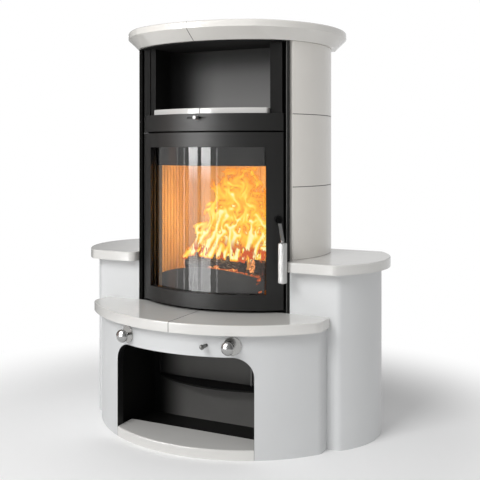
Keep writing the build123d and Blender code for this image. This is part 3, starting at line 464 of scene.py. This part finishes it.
def embers():
    """Coals: dark crust with hot cracks."""
    finish = Finish("embers", {"Roughness": 0.9})
    cracks = finish.cells(0.008, "DISTANCE_TO_EDGE")
    heat = finish.noise(0.03, 3.0, 0.6)
    glow = (1.0 - cracks.step(0.03, 0.3)) * 0.6 + heat.step(0.45, 0.7) * 0.5
    tones = [
        (0.00, (0.01, 0.004, 0.002)), (0.40, (0.35, 0.03, 0.004)),
        (0.75, (1.0, 0.22, 0.02)), (1.00, (1.0, 0.6, 0.15)),
    ]
    finish.set({
        "Base Color": (0.05, 0.04, 0.035),
        "Emission Color": finish.ramp(glow, tones),
        "Emission Strength": 0.9,
        "Normal": finish.bump(cracks, 0.8, 0.002),
    })
    return finish


def flame():
    """Fire: the heat that the mesh carries, torn by fine upward streaks, sets its colour and how much shows.

    Low in the fire it has red patches.
    """
    finish = Finish("flame", {
        "Base Color": grey(0.0), "Roughness": 1.0, "Specular IOR Level": 0.0, "Emission Strength": 1.06,
    })
    heat = finish.node("ShaderNodeAttribute", {"attribute_name": "warmth"}, output="Fac")
    streaks = finish.noise(0.006, 3.0, 0.6, vector=finish.stretched((1.0, 0.6, 0.35)), distortion=0.5)
    hot = heat + (streaks - 0.5) * 0.22
    tones = [
        (0.00, (0.80, 0.15, 0.010)), (0.16, (1.0, 0.30, 0.020)), (0.34, (1.0, 0.47, 0.035)),
        (0.54, (1.0, 0.63, 0.05)), (0.76, (1.0, 0.81, 0.13)), (1.00, (1.0, 0.94, 0.48)),
    ]
    patches = finish.noise(0.024, 2.0, 0.6, vector=finish.stretched((1.0, 1.0, 0.5))).step(0.50, 0.57)
    red = patches * (1.0 - finish.axis("Z").step(*RED_FLAMES_Z))
    finish.set({
        "Emission Color": finish.mix(red, finish.ramp(hot * 0.9, tones), (0.62, 0.085, 0.008)),
        "Alpha": hot.step(0.04, 0.30),
    })
    return finish


def slider_metal():
    """The slider's knob with its bright face in front of the panel, and its black plate behind the slot."""
    finish = Finish("slider_metal", {})
    away = finish.length(finish.vector(finish.axis("X"), finish.axis("Y") - DOOR_CENTRE_Y)) - DOOR_RADIUS
    knob = away.step(*KNOB_START)
    face = away.step(*KNOB_FACE)
    smudges = finish.noise(0.006, 3.0, 0.5)
    metal = finish.mix(knob, grey(0.004), (0.13, 0.13, 0.128))
    finish.set({
        "Base Color": finish.mix(face, metal, (0.72, 0.72, 0.71)),
        "Roughness": 0.6 - knob * 0.3 + smudges * 0.06,
    })
    return finish


def joint_filler():
    """Soft dark grey mortar in the joints between tiles and slabs."""
    finish = Finish("joint_filler", {"Roughness": 0.9})
    sand = finish.noise(0.001, 2.0, 0.6)
    finish.set({
        "Base Color": finish.shade((0.06, 0.057, 0.053), 1.15, 0.85, sand),
        "Normal": finish.bump(sand, 0.4, 0.0002),
    })
    return finish


FINISHES = {
    "plaster": plaster("plaster", 1.0),
    "slab_glaze": glaze("slab_glaze", (0.700, 0.690, 0.667), 0.10, 0.10, jointed=True),
    # Painted light: the tile glaze is lighter than the slab glaze, making up for light that the tiles' sides
    # lack.
    "tile_glaze": glaze("tile_glaze", (0.795, 0.765, 0.718), 0.16, 0.15),
    "black_steel": black_steel("black_steel", 0.0125, 0.35, 0.40),
    "cast_iron": cast_iron(),
    "fireclay": fireclay(),
    "door_glass": door_glass(),
    "seal_rope": seal_rope(),
    "zinc_steel": bare_metal("zinc_steel", (0.52, 0.52, 0.51), 0.34, 0.00008, stretch=(1.0, 0.2, 1.0)),
    "grip_steel": bare_metal("grip_steel", (0.69, 0.69, 0.68), 0.58, 0.00010, stretch=(0.5, 0.5, 6.0)),
    "chrome": bare_metal("chrome", (0.41, 0.41, 0.405), 0.07, 0.00001),
    "firewood": charred_wood("charred_wood"),
}
for row in frame["record"]["subparts"]:
    dress(FINISHES[row["material_slot"]], row["node"])

# Nodes whose tone in the photograph differs from that of their material.
dress(black_steel("matt_black_steel", 0.009, 0.52, 0.16),
      "front_bulkhead", "firebox_front_frame", "casing_top", "wood_store_liner", "plinth_shelf")
# Painted shade: the left casing side gets a darker copy of the steel than its mirror on the right.
dress(black_steel("left_side_steel_painted_shade", 0.003, 0.60, 0.05), "casing_side_left")
# The right casing side carries a painted highlight line along its front edge.
dress(black_steel("right_side_steel_painted_highlight", 0.006, 0.52, 0.12, painted_highlight=True), "casing_side_right")
# The niche's back sheet carries painted light and a painted shadow.
dress(black_steel("niche_steel_painted_light", 0.006, 0.55, 0.10, painted_light_back=True), "niche_liner")
# The wood store's steel is darkened by painted shade towards its left end.
dress(black_steel("store_steel_painted_shade", 0.180, 0.50, 0.2, painted_shade_left=True), "plinth_front_panel", "ash_door")
# Painted light: the top plates get a lighter copy of the glaze, making up for light that their flared
# underside lacks.
dress(glaze("top_glaze_painted_light", (0.755, 0.735, 0.698), 0.13, 0.12, jointed=True),
      "top_plate_left", "top_plate_right")
# Painted shade: the shelf plates get a darker copy of the glaze, standing in for the shade inside the niche.
dress(glaze("shelf_glaze_painted_shade", (0.640, 0.630, 0.612), 0.12, 0.10, jointed=True),
      "shelf_plate_left", "shelf_plate_right")
# Painted shade: the base's front wall gets a slightly darker copy of the plaster, tone 0.94, standing in for
# the lower light on it; its arch reveal is lined in black.
dress(plaster("arch_plaster_painted_shade", 0.94, ARCH), "base_front_wall")
dress(slider_metal(), "air_slider")
dress(bare_metal("rosette_steel", (0.42, 0.42, 0.41), 0.14, 0.00001), "control_rosettes")
dress(bare_metal("dark_metal", (0.20, 0.20, 0.195), 0.30, 0.00002),
      "riddling_knob", "ash_door_handle")
dress(bare_metal("arm_metal", (0.36, 0.36, 0.355), 0.38, 0.00002, black_above=ARM_BLACK_Z),
      "door_handle_arm")


# ---------------------------------------------------------------------------
# Mesh tools
# ---------------------------------------------------------------------------

def added(name, data):
    """A new object in the scene."""
    made = bpy.data.objects.new(name, data)
    bpy.context.scene.collection.objects.link(made)
    return made


def piece(name, points, faces, finish, body, smooth=True):
    """A mesh from arrays of points and faces, which rides a body."""
    mesh = bpy.data.meshes.new(name)
    mesh.from_pydata(np.asarray(points, float).tolist(), [], [list(map(int, face)) for face in faces])
    mesh.polygons.foreach_set("use_smooth", [smooth] * len(mesh.polygons))
    mesh.materials.append(finish.material)
    made = added(name, mesh)
    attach(made, body)
    return made


def tube_faces(rows, columns):
    """Quads of a grid of points, row by row, whose last column joins the first."""
    i, j = np.meshgrid(np.arange(rows - 1), np.arange(columns), indexing="ij")
    k = (j + 1) % columns
    low, high = i * columns, (i + 1) * columns
    return np.stack([low + j, low + k, high + k, high + j], axis=-1).reshape(-1, 4)


def ring(first, count, reverse=False):
    """A face over count points in a row, from the first."""
    numbers = range(first, first + count)
    return tuple(reversed(numbers)) if reverse else tuple(numbers)


def swept(outline, path, sides):
    """A closed outline carried along a path, with a face at each end.

    outline is an array of (sideways, up) offsets; each path point has a unit sideways vector, and up is +Z.
    """
    up = np.array([0.0, 0.0, 1.0])
    rings = path[:, None, :] + outline[None, :, :1] * sides[:, None, :] + outline[None, :, 1:] * up
    count = len(outline)
    ends = [ring(0, count, reverse=True), ring((len(path) - 1) * count, count)]
    return rings.reshape(-1, 3), [*tube_faces(len(path), count), *ends]


def lattice_noise(x, z, seed):
    """Smooth noise between about -0.7 and 0.7.

    Each lattice corner holds a random direction; its dot product with the way to the point is blended
    between the four corners with the curve 6t^5 - 15t^4 + 10t^3.
    """
    size = 64
    turns = np.random.default_rng(seed).random((size, size)) * 2 * np.pi
    x0, z0 = np.floor(x).astype(int), np.floor(z).astype(int)
    u, w = x - x0, z - z0

    def corner(i, j):
        turn = turns[(x0 + i) % size, (z0 + j) % size]
        return np.cos(turn) * (u - i) + np.sin(turn) * (w - j)

    su, sw = (t * t * t * (t * (6 * t - 15) + 10) for t in (u, w))
    low = corner(0, 0) * (1 - su) + corner(1, 0) * su
    high = corner(0, 1) * (1 - su) + corner(1, 1) * su
    return low * (1 - sw) + high * sw


def layered_noise(x, z, seed, layers):
    """Lattice noise added up over layers, each twice as fine and half as strong."""
    return sum(lattice_noise(x * 2**i, z * 2**i, seed + i) / 2**i for i in range(layers))


# ---------------------------------------------------------------------------
# Fire
# ---------------------------------------------------------------------------

LOG_RADIUS, LOG_STEP, LOG_TURNS = 0.033, 0.0022, 110
LOG_CUT = ((0.86, -0.0006), (0.5, 0.0012), (0.02, 0.002))


def log_piece(name, start, end, radius, seed, corners, flat, finish=FINISHES["firewood"], narrow=1.0):
    """A split log: rings round its axis.

    The radius at angle t is that of a rounded polygon, wavered along the log and broken by layered noise, and
    narrow shrinks it sideways. Three rings at each end close it with a slightly hollow, rough cut: LOG_CUT
    gives the share of the radius and the depth of each.
    """
    start, end = np.asarray(start, float), np.asarray(end, float)
    along = end - start
    length = np.linalg.norm(along)
    along = along / length
    side = np.cross(along, (0.0, 0.0, 1.0)) if abs(along[2]) < 0.9 else np.cross(along, (0.0, 1.0, 0.0))
    side = side / np.linalg.norm(side)
    up = np.cross(side, along)
    s = np.linspace(0, 1, int(length / LOG_STEP))[:, None]
    t = np.linspace(0, 2 * np.pi, LOG_TURNS, endpoint=False)[None, :]
    rng = np.random.default_rng(seed)
    places = np.sort(rng.uniform(0, 2 * np.pi, corners))
    gap = np.abs((t - places[:, None] + np.pi) % (2 * np.pi) - np.pi).min(axis=0)[None, :]
    shape = 1.0 - flat * (1 - np.cos(np.clip(gap * 1.6, 0, np.pi))) / 2
    waver = 0.05 * layered_noise(s * length / 0.06 + seed, np.cos(t) * 1.5 + 7, seed, 2)
    bark = layered_noise(s * length / 0.020 + 3, t * radius / 0.008, seed + 11, 3)
    chips = layered_noise(s * length / 0.007 + 9, t * radius / 0.005, seed + 23, 2)
    reach = np.minimum(radius * (shape + waver + 0.13 * bark + 0.09 * chips), radius)
    bend = 0.06 * radius * np.sin(s * 2.5 + seed)
    across = narrow * reach * np.cos(t)
    rise = reach * np.sin(t) + bend
    rings = start + along * (s * length)[..., None] + side * across[..., None] + up * rise[..., None]
    rough = 0.0012 * layered_noise(t[0] * 3, t[0] * 0 + seed, seed + 5, 2)[:, None]
    caps = []
    for outer, inward in ((rings[0], 1), (rings[-1], -1)):
        middle = outer.mean(axis=0)
        caps.append([middle + (outer - middle) * share + along * (inward * depth + rough * (1 - share))
                     for share, depth in LOG_CUT])
    points = np.concatenate([np.array(caps[0][::-1]), rings, np.array(caps[1])])
    rows = len(points)
    ends = [ring(0, LOG_TURNS, reverse=True), ring((rows - 1) * LOG_TURNS, LOG_TURNS)]
    faces = [*tube_faces(rows, LOG_TURNS), *ends]
    return piece(name, points.reshape(-1, 3), faces, finish, ROOT)


def coals():
    """Small lumps heaped between the logs and banked up behind the guard on the right.

    Each is a ball whose radius wavers with angle. The bank's height follows the guard's arched top.
    """
    rng = np.random.default_rng(5)
    bed, bank, rows, columns = 150, 170, 7, 10
    count = bed + bank
    guard_low, guard_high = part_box("log_guard")
    guard_radius, guard_height = DOOR_CENTRE_Y - guard_low.y, guard_high.z - HEARTH_Z
    guard_arch, bank_back_y, pole = 0.037, -0.036, 0.12

    def draw(bed_span, bank_span):
        """A random number for each lump of the bed, then one for each lump of the bank."""
        return rng.uniform(*bed_span, bed), rng.uniform(*bank_span, bank)

    bed_x, bank_x = draw((-0.16, 0.19), (-0.01, 0.188))
    bed_y, bank_depth = draw((-0.052, 0.105), (0.35, 1.0))
    bed_z, bank_share = draw((0.003, 0.020), (0.5, 0.98))
    size = np.concatenate(draw((0.006, 0.014), (0.004, 0.009)))
    guard_y = DOOR_CENTRE_Y - np.sqrt(guard_radius**2 - bank_x**2)
    guard_top = guard_height - guard_arch * (bank_x / guard_high.x) ** 2
    x = np.concatenate([bed_x, bank_x])
    y = np.concatenate([bed_y, guard_y + (bank_back_y - guard_y) * bank_depth])
    z = np.concatenate([bed_z, guard_top * bank_share]) + HEARTH_Z
    centre = np.stack([x, y, z], axis=-1)

    a = np.linspace(pole, np.pi - pole, rows)[None, :, None]
    b = np.linspace(0, 2 * np.pi, columns, endpoint=False)[None, None, :]
    lump = 1 + 0.25 * np.sin(3 * a + 2 * b + rng.uniform(0, 6, (count, 1, 1))) * np.sin(a)
    ball = [np.sin(a) * np.cos(b) * lump, np.sin(a) * np.sin(b) * lump, np.cos(a) * 0.7 * lump]
    ball = np.stack(ball, axis=-1)
    points = centre[:, None, None, :] + size[:, None, None, None] * ball
    points[..., 2] = np.maximum(points[..., 2], HEARTH_Z + 0.0004)
    quads = tube_faces(rows, columns)[:, ::-1]
    faces = []
    for base in range(0, count * rows * columns, rows * columns):
        faces += [*(quads + base), ring(base, columns)]
        faces.append(ring(base + (rows - 1) * columns, columns, reverse=True))
    piece("embers", points.reshape(-1, 3), faces, embers(), ROOT)


FLAME = flame()

# The upright plane in which the fire's flow is worked out, its cells, and what a step adds and takes. Speeds
# are in cells a step.
FIRE_LEFT, FIRE_RIGHT, FIRE_BASE, FIRE_TOP = -0.170, 0.208, 0.570, BAFFLE_Z - 0.005
FIRE_CELL, FIRE_SPOTS = 0.003, 12
LEAN, LIFT, SWIRL = 0.025, 0.10, 0.13
DRAUGHT_X, DRAUGHT_Z, TOP_SPEED, KEPT_SPEED = 0.33, 1.5, 4.0, 0.985
FUEL_DEPTH, HOTTEST = 0.008, 1.25
FADING, FADING_ABOVE, FADING_FROM = 0.006, 0.11, 0.6
FLAME_SLANT = 0.25

# A body of flame: the heat at its outline, half its thickness where the heat is 1, and its sway in depth.
LEAST_HEAT, FLAME_HALF, FLAME_SWAY = 0.03, 0.0030, 0.014

# How high the flames reach above the logs, and how high the log tops are, each at its X.
FLAME_REACH = [
    (-0.145, 0.0), (-0.12, 0.07), (-0.10, 0.14), (-0.05, 0.20), (0.00, 0.31),
    (0.03, 0.34), (0.07, 0.24), (0.12, 0.19), (0.21, 0.17),
]
LOG_TOPS = [
    (-0.16, 0.600), (-0.114, 0.604), (-0.097, 0.620), (-0.04, 0.613), (0.02, 0.611),
    (0.08, 0.606), (0.14, 0.602), (0.17, 0.617), (0.21, 0.620),
]


def between(field, i, k):
    """Values of a field between its cells: each is blended from the four cells round the point."""
    rows, columns = field.shape
    i, k = np.clip(i, 0, columns - 1.001), np.clip(k, 0, rows - 1.001)
    i0, k0 = i.astype(int), k.astype(int)
    across, up = i - i0, k - k0
    low = field[k0, i0] * (1 - across) + field[k0, i0 + 1] * across
    high = field[k0 + 1, i0] * (1 - across) + field[k0 + 1, i0 + 1] * across
    return low * (1 - up) + high * up


def without_sources(u, w):
    """Takes from a flow the part that spreads out or draws in, so that it swirls as gas does.

    The flow is mirrored at its sides and written as waves, and each wave loses its share along its direction.
    """
    rows, columns = u.shape
    mirrored_u = np.block([[u, -u[:, ::-1]], [u[::-1], -u[::-1, ::-1]]])
    mirrored_w = np.block([[w, w[:, ::-1]], [-w[::-1], -w[::-1, ::-1]]])
    wave_u, wave_w = np.fft.rfft2(mirrored_u), np.fft.rfft2(mirrored_w)
    across = 2 * np.pi * np.fft.rfftfreq(2 * columns)[None, :]
    up = 2 * np.pi * np.fft.fftfreq(2 * rows)[:, None]
    share = (across * wave_u + up * wave_w) / np.maximum(across**2 + up**2, 1e-9)
    size = mirrored_u.shape
    calm_u = np.fft.irfft2(wave_u - across * share, s=size)[:rows, :columns]
    calm_w = np.fft.irfft2(wave_w - up * share, s=size)[:rows, :columns]
    return calm_u, calm_w


def burn(seed, steps, fuel_level):
    """Heat of a fire in an upright plane, from a small flow simulation.

    In each step the log tops give heat in drifting spots, hot gas is lifted and leans to the right, its
    swirls are strengthened, flow and heat move along with the gas, and heat fades, faster above the share
    FADING_FROM of the height that FLAME_REACH gives for that place.
    """
    columns = int((FIRE_RIGHT - FIRE_LEFT) / FIRE_CELL)
    rows = int((FIRE_TOP - FIRE_BASE) / FIRE_CELL)
    x = FIRE_LEFT + (np.arange(columns) + 0.5) * FIRE_CELL
    z = FIRE_BASE + (np.arange(rows) + 0.5) * FIRE_CELL
    i, k = np.meshgrid(np.arange(columns, dtype=float), np.arange(rows, dtype=float))
    rng = np.random.default_rng(seed)
    phase = rng.uniform(0, 2 * np.pi, (FIRE_SPOTS, 1))
    pace = rng.uniform(0.05, 0.35, (FIRE_SPOTS, 1)) * (-1) ** np.arange(FIRE_SPOTS)[:, None]
    pitch = rng.uniform(50, 260, (FIRE_SPOTS, 1))
    rise = z[:, None] - np.interp(x, *zip(*LOG_TOPS))[None, :]
    reach = np.interp(x[None, :] - FLAME_SLANT * np.clip(rise, 0, 1), *zip(*FLAME_REACH))
    spent = np.clip(rise / np.maximum(reach, 0.01) - FADING_FROM, 0, 1.5)
    fading = FADING + FADING_ABOVE * spent**1.2
    fuel_band = np.exp(-((rise / FUEL_DEPTH) ** 2)) * np.clip(reach / 0.08, 0, 1)
    heat, u, w = np.zeros((3, rows, columns))
    for step in range(steps):
        spots = np.sin(pitch * x + pace * step + phase).sum(axis=0) / 3.2
        heat = np.maximum(heat, fuel_band * np.clip(fuel_level + 1.1 * spots, 0, HOTTEST))
        u, w = u + LEAN * heat, w + LIFT * heat
        curl = np.gradient(w, axis=1) - np.gradient(u, axis=0)
        slope_z, slope_x = np.gradient(np.abs(curl))
        steep = np.hypot(slope_x, slope_z) + 1e-6
        u, w = without_sources(u + SWIRL * slope_z / steep * curl, w - SWIRL * slope_x / steep * curl)
        limit = np.minimum(KEPT_SPEED, TOP_SPEED / (np.hypot(u, w) + 1e-6))
        u, w = u * limit, w * limit
        du, dw = u + DRAUGHT_X, w + DRAUGHT_Z
        moved = between(heat, i - du, k - dw)
        heat = np.clip(moved + 0.5 * (heat - between(moved, i + du, k + dw)), 0, HOTTEST)
        u, w = between(u, i - du, k - dw), between(w, i - du, k - dw)
        heat = np.maximum(heat - fading * (0.3 + heat), 0)
    return x, z, heat


def flame_sheet(name, depth, seed, steps, fuel_level):
    """A body of fire at a depth: the burnt plane's two faces, pushed apart by some millimetres of heat.

    Cells with no heat are left out, so the outline and the relief are those of the tongues. The sheet sways
    in depth by smooth noise, and quads between the two faces close each side of a cell with no neighbour.
    """
    x, z, heat = burn(seed, steps, fuel_level)
    x, z = np.meshgrid(x, z)
    heat[0], heat[-1], heat[:, 0] = 0, 0, 0
    keep = heat > LEAST_HEAT
    cells = keep[:-1, :-1] & keep[1:, :-1] & keep[:-1, 1:] & keep[1:, 1:]
    padded = np.pad(cells, 1)
    rows, columns = cells.shape
    corners = [padded[di:di + rows + 1, dj:dj + columns + 1] for di in (0, 1) for dj in (0, 1)]
    touched, inner = np.any(corners, axis=0), np.all(corners, axis=0)
    sway = FLAME_SWAY * layered_noise(x / 0.07 + 1, z / 0.12, seed + 50, 2)
    thick = 0.0001 + FLAME_HALF * np.clip(heat, 0.1, 1.2) * inner
    number = np.cumsum(touched).reshape(touched.shape) - 1
    front, back = (np.stack([x, depth + sway + side * thick, z], axis=-1)[touched] for side in (-1, 1))
    count = len(front)
    i, j = np.nonzero(cells)
    quads = np.stack([number[i, j], number[i, j + 1], number[i + 1, j + 1], number[i + 1, j]], axis=-1)
    faces = [quads, quads[:, ::-1] + count]
    rims = (
        (-1, 0, (0, 0), (0, 1)), (1, 0, (1, 1), (1, 0)), (0, -1, (1, 0), (0, 0)), (0, 1, (0, 1), (1, 1)),
    )
    for di, dj, a, b in rims:
        i, j = np.nonzero(cells & ~padded[1 + di:1 + di + rows, 1 + dj:1 + dj + columns])
        first, second = number[i + a[0], j + a[1]], number[i + b[0], j + b[1]]
        faces.append(np.stack([first, first + count, second + count, second], axis=-1))
    made = piece(name, np.concatenate([front, back]), np.concatenate(faces), FLAME, ROOT)
    warmth = made.data.attributes.new("warmth", "FLOAT", "POINT")
    warmth.data.foreach_set("value", np.tile(heat[touched], 2).astype(np.float32))
    made.visible_shadow = False
    made.visible_diffuse = False


def fire():
    """Logs, coals and three bodies of flame."""
    front_y, back_y = -0.005, 0.067
    low_z = HEARTH_Z + LOG_RADIUS
    top_z = low_z + math.sqrt((2 * LOG_RADIUS) ** 2 - ((back_y - front_y) / 2) ** 2)
    logs = [
        log_piece("log_front", (-0.145, front_y, low_z), (0.185, front_y, low_z), LOG_RADIUS, 3, 5, 0.22),
        log_piece("log_back", (-0.150, back_y, low_z), (0.180, back_y, low_z), LOG_RADIUS, 8, 4, 0.25),
        log_piece("log_top", (-0.132, 0.031, top_z + 0.002), (0.092, 0.031, top_z - 0.004),
                  LOG_RADIUS, 14, 5, 0.2),
        log_piece("log_across", (0.163, -0.051, low_z + 0.066), (0.187, 0.020, low_z + 0.052),
                  0.025, 21, 4, 0.2, charred_wood("burning_end", BURNING_END_Y), narrow=0.45),
        log_piece("log_leaning", (0.164, 0.095, HEARTH_Z + 0.016), (0.176, 0.162, HEARTH_Z + 0.240),
                  0.024, 27, 4, 0.2),
    ]
    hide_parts("firewood")
    coals()
    flame_sheet("flames_front", -0.012, 1, 104, 0.90)
    flame_sheet("flames_middle", 0.036, 2, 118, 0.75)
    flame_sheet("flames_back", 0.084, 5, 132, 0.70)


# ---------------------------------------------------------------------------
# Small trim
# ---------------------------------------------------------------------------

def arc_strip(name, centre_y, radius, angles, z, outline, finish):
    """A bar of a given outline bent round (0, centre_y); angles run from -Y, positive to the right."""
    turn_step, fewest = 0.03, 8
    turn = np.linspace(*angles, max(fewest, int((angles[1] - angles[0]) / turn_step)))
    out = np.stack([np.sin(turn), -np.cos(turn), 0 * turn], axis=-1)
    path = np.array([0.0, centre_y, z]) + radius * out
    points, faces = swept(np.array(outline), path, out)
    piece(name, points, faces, finish, ROOT, smooth=False)


def tile_joints():
    """Dark filler in the grooves between the tile rows."""
    filler = joint_filler()
    half, inner, outer = 0.0014, -0.0040, -0.0004
    outline = [(inner, -half), (outer, -half), (outer, half), (inner, half)]
    edge = math.acos((TILE_CENTRE_Y - TILE_LOW.y) / TILE_RADIUS)
    front_gap, back_gap = 0.003, 0.005
    first, last = edge + front_gap, math.pi - edge - back_gap
    for joint, z in enumerate((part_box("side_tile_middle_left")[0].z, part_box("side_tile_upper_left")[0].z)):
        for side, angles in (("left", (-last, -first)), ("right", (first, last))):
            name = f"tile_joint_{joint}_{side}"
            arc_strip(name, TILE_CENTRE_Y, TILE_RADIUS, angles, z, outline, filler)


def screws(name, places, normal, radius, finish):
    """Round-headed screws in an upright face: each head is a dome, (1 - r^2)^0.6 times its middle's height.

    r runs from 0 to 1 at the rim, and a cross is cut into the dome. Its sizes are shares of its radius.
    """
    dome_height, rim, cut_depth, cut_half, cut_reach = 0.42, 0.06, 0.25, 0.12, 0.6
    rings, turns = 9, 24
    r = np.linspace(0.001, 1.0, rings)[:, None]
    t = np.linspace(0, 2 * np.pi, turns, endpoint=False)[None, :]
    height = dome_height * (1 - r**2) ** 0.6 + 0 * t
    arm = np.minimum(np.abs(np.sin(t)), np.abs(np.cos(t))) * r
    height = height - cut_depth * (arm < cut_half) * (r < cut_reach)
    dome = np.stack([r * np.cos(t), r * np.sin(t), height + rim * (r < 0.999)], axis=-1)
    skirt = np.stack([np.cos(t[0]), np.sin(t[0]), 0 * t[0]], axis=-1)[None]
    local = np.concatenate([dome, skirt]).reshape(-1, 3) * radius
    across = np.cross(normal, (0.0, 0.0, 1.0))
    world = local @ np.stack([across, np.cross(normal, across), normal])
    quads = tube_faces(rings + 1, turns)
    points, faces = [], []
    for number, place in enumerate(places):
        base = number * len(world)
        points.append(world + np.asarray(place, float))
        faces += [*(quads + base), ring(base, turns, reverse=True), ring(base + rings * turns, turns)]
    piece(name, np.concatenate(points), faces, finish, ROOT, smooth=False)


def rear_screws():
    """Screws down both edges of the rear panel."""
    low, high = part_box("rear_panel")
    from_edge, radius = 0.012, 0.0045
    heights = np.arange(0.70, 1.34, 0.155)
    places = [(x, high.y, z) for x in (low.x + from_edge, high.x - from_edge) for z in heights]
    screws("rear_panel_screws", places, (0, 1, 0), radius, FINISHES["zinc_steel"])


fire()
tile_joints()
rear_screws()


# ---------------------------------------------------------------------------
# Stage, light and camera
# ---------------------------------------------------------------------------

def seen_rays(board):
    """1 for rays from the camera, from a reflection or through glass, which see the background."""
    return board.ray("Camera").at_least(board.ray("Glossy")).at_least(board.ray("Transmission"))


def stage():
    """A pale floor that fades into the white background."""
    size, fade = 14.0, (0.75, 1.5)
    mesh = bpy.data.meshes.new("floor")
    corners = [(-size, -size, 0), (size, -size, 0), (size, size, 0), (-size, size, 0)]
    mesh.from_pydata(corners, [], [(0, 1, 2, 3)])
    floor = added("floor", mesh)
    finish = Finish("floor", {"Base Color": grey(0.93), "Roughness": 0.9, "Specular IOR Level": 0.1})
    faded = finish.length(finish.place).step(*fade) * seen_rays(finish)
    lit = Wire(finish, finish.shader.outputs[0])
    finish.show(finish.node("ShaderNodeMixShader", {}, {0: faded, 1: lit, 2: finish.glow(grey(1.0))}))
    mesh.materials.append(finish.material)


def backdrop():
    """A white world to look at, and a dimmer one to be lit by."""
    world = bpy.data.worlds.new("studio")
    world.use_nodes = True
    bpy.context.scene.world = world
    board = Board(world.node_tree)
    sockets = world.node_tree.nodes["Background"].inputs
    board.plug(sockets["Color"], grey(1.0))
    board.plug(sockets["Strength"], AMBIENT_LIGHT + seen_rays(board) * (1.0 - AMBIENT_LIGHT))


def reflected_room():
    """What the glass, glaze and steel mirror in front of the stove: a dim room with two tall windows.

    It is a drum round the stove that only reflections see. Its light depends on the angle round the stove,
    in degrees from the front and positive to the right, and on the height: bands at the windows' angles, and
    over each window's height a terrace, a hedge and the sky.
    """
    turn = np.radians(np.arange(0, 360, 3))
    rings = [np.stack([ROOM_X + r * np.cos(turn), ROOM_Y + r * np.sin(turn), z + 0 * turn], axis=-1)
             for r, z in ((ROOM_RADIUS, 0.02), (ROOM_RADIUS, ROOM_TOP), (0.01, ROOM_TOP))]
    mesh = bpy.data.meshes.new("reflected_room")
    mesh.from_pydata(np.concatenate(rings).tolist(), [], tube_faces(3, len(turn)).tolist())
    room = added("reflected_room", mesh)
    finish = Finish("reflected_room", {})
    x, y, z = finish.axis("X") - ROOM_X, finish.axis("Y") - ROOM_Y, finish.axis("Z")
    angle = x.math("ARCTAN2", x, 0.0 - y) * (180 / math.pi)

    def band(centre, half, soft=0.4):
        """1 within half degrees of an angle, with soft edges."""
        return 1.0 - (angle - centre).size().step(half - soft, half + soft)

    view_height = 2.2
    view = finish.ramp(z * (1 / view_height), [
        (0.00, (0.48, 0.48, 0.47)), (0.13, (0.48, 0.48, 0.46)), (0.17, (0.17, 0.17, 0.16)),
        (0.36, grey(0.22)), (0.43, grey(1.0)), (1.00, grey(1.0)),
    ])
    terrace = 1.0 - z.step(0.28, 0.34)
    marble = finish.noise(0.05, 4.0, 0.65, distortion=1.2)
    paving = 1.0 + (marble - 0.5) * (terrace * 2.6 + 0.35)
    windows = band(-37.7, 5.6) + band(-22.0, 5.6) + band(-29.9, 2.6) * terrace * 0.75
    below_lintel = 1.0 - z.step(2.3, 2.32)
    light = windows * below_lintel * view * paving * WINDOW_LIGHT
    slivers = band(-49.3, 0.8) * 3.5 + band(-9.0, 0.8) * 3.0 + band(-58.6, 0.7) * 1.5
    front = 1.0 - angle.size().step(85.0, 110.0)
    left = angle.step(-150.0, -125.0) * (1.0 - angle.step(-66.0, -54.0))
    wall = 0.72 - front * (0.30 + angle.step(22.0, 33.0) * 0.17)
    dim = wall * (1.0 - left) + left * 0.19 - band(-82.0, 7.0, 2.0) * 0.08
    white = light + slivers + dim
    brown = band(-66.0, 5.5, 3.0) * 0.5
    warm = finish.vector(brown, brown * 0.5, brown * 0.32)
    finish.show(finish.glow(finish.mix(1.0, warm, finish.vector(white, white, white), blend="ADD")))
    mesh.materials.append(finish.material)
    room.visible_camera = False
    room.visible_diffuse = False
    room.visible_transmission = False
    room.visible_shadow = False


def hidden_lamp(name, kind, watts, colour):
    """A lamp that is never seen, neither straight nor mirrored nor through the glass."""
    data = bpy.data.lights.new(name, kind)
    data.energy = watts
    data.color = colour
    made = added(name, data)
    made.visible_camera = False
    made.visible_transmission = False
    made.visible_glossy = False
    return made


def area_lamp(name, place, target, width, height, watts):
    """A white rectangular lamp at a place, turned towards a target; its watts spread over its area."""
    made = hidden_lamp(name, "AREA", watts, grey(1.0))
    made.data.shape = "RECTANGLE"
    made.data.size, made.data.size_y = width, height
    here = np.array(place)
    away = here - np.array(target)
    away = away / np.linalg.norm(away)
    right = np.cross((0, 0, 1.0), away)
    right = right / np.linalg.norm(right)
    up = np.cross(away, right)
    made.matrix_world = Matrix([*np.stack([right, up, away, here], axis=-1).tolist(), [0, 0, 0, 1]])


def lights():
    """A soft key light from the upper left, a weak fill, and the fire's own warm light."""
    area_lamp("key", (-0.52, -2.95, 2.7), (0, 0, 0.7), 1.8, 1.8, 84.0)
    area_lamp("fill_right", (2.7, -1.2, 0.7), (0.3, 0, 1.0), 1.5, 1.2, 2.5)
    fire_glow = hidden_lamp("fire_glow", "POINT", 2.4, (1.0, 0.51, 0.11))
    fire_glow.data.shadow_soft_size = 0.07
    fire_glow.location = (0.03, -0.01, 0.76)


def camera():
    """A level camera: its picture is shifted, so upright edges stay upright."""
    data = bpy.data.cameras.new("camera")
    data.lens = CAMERA_LENS
    data.sensor_width = 36.0
    data.shift_y = CAMERA_SHIFT
    made = added("camera", data)
    made.location = CAMERA_PLACE
    made.rotation_euler = (math.pi / 2, 0, CAMERA_TURN)
    bpy.context.scene.camera = made


stage()
backdrop()
reflected_room()
lights()
camera()
bpy.context.scene.view_settings.view_transform = "Standard"
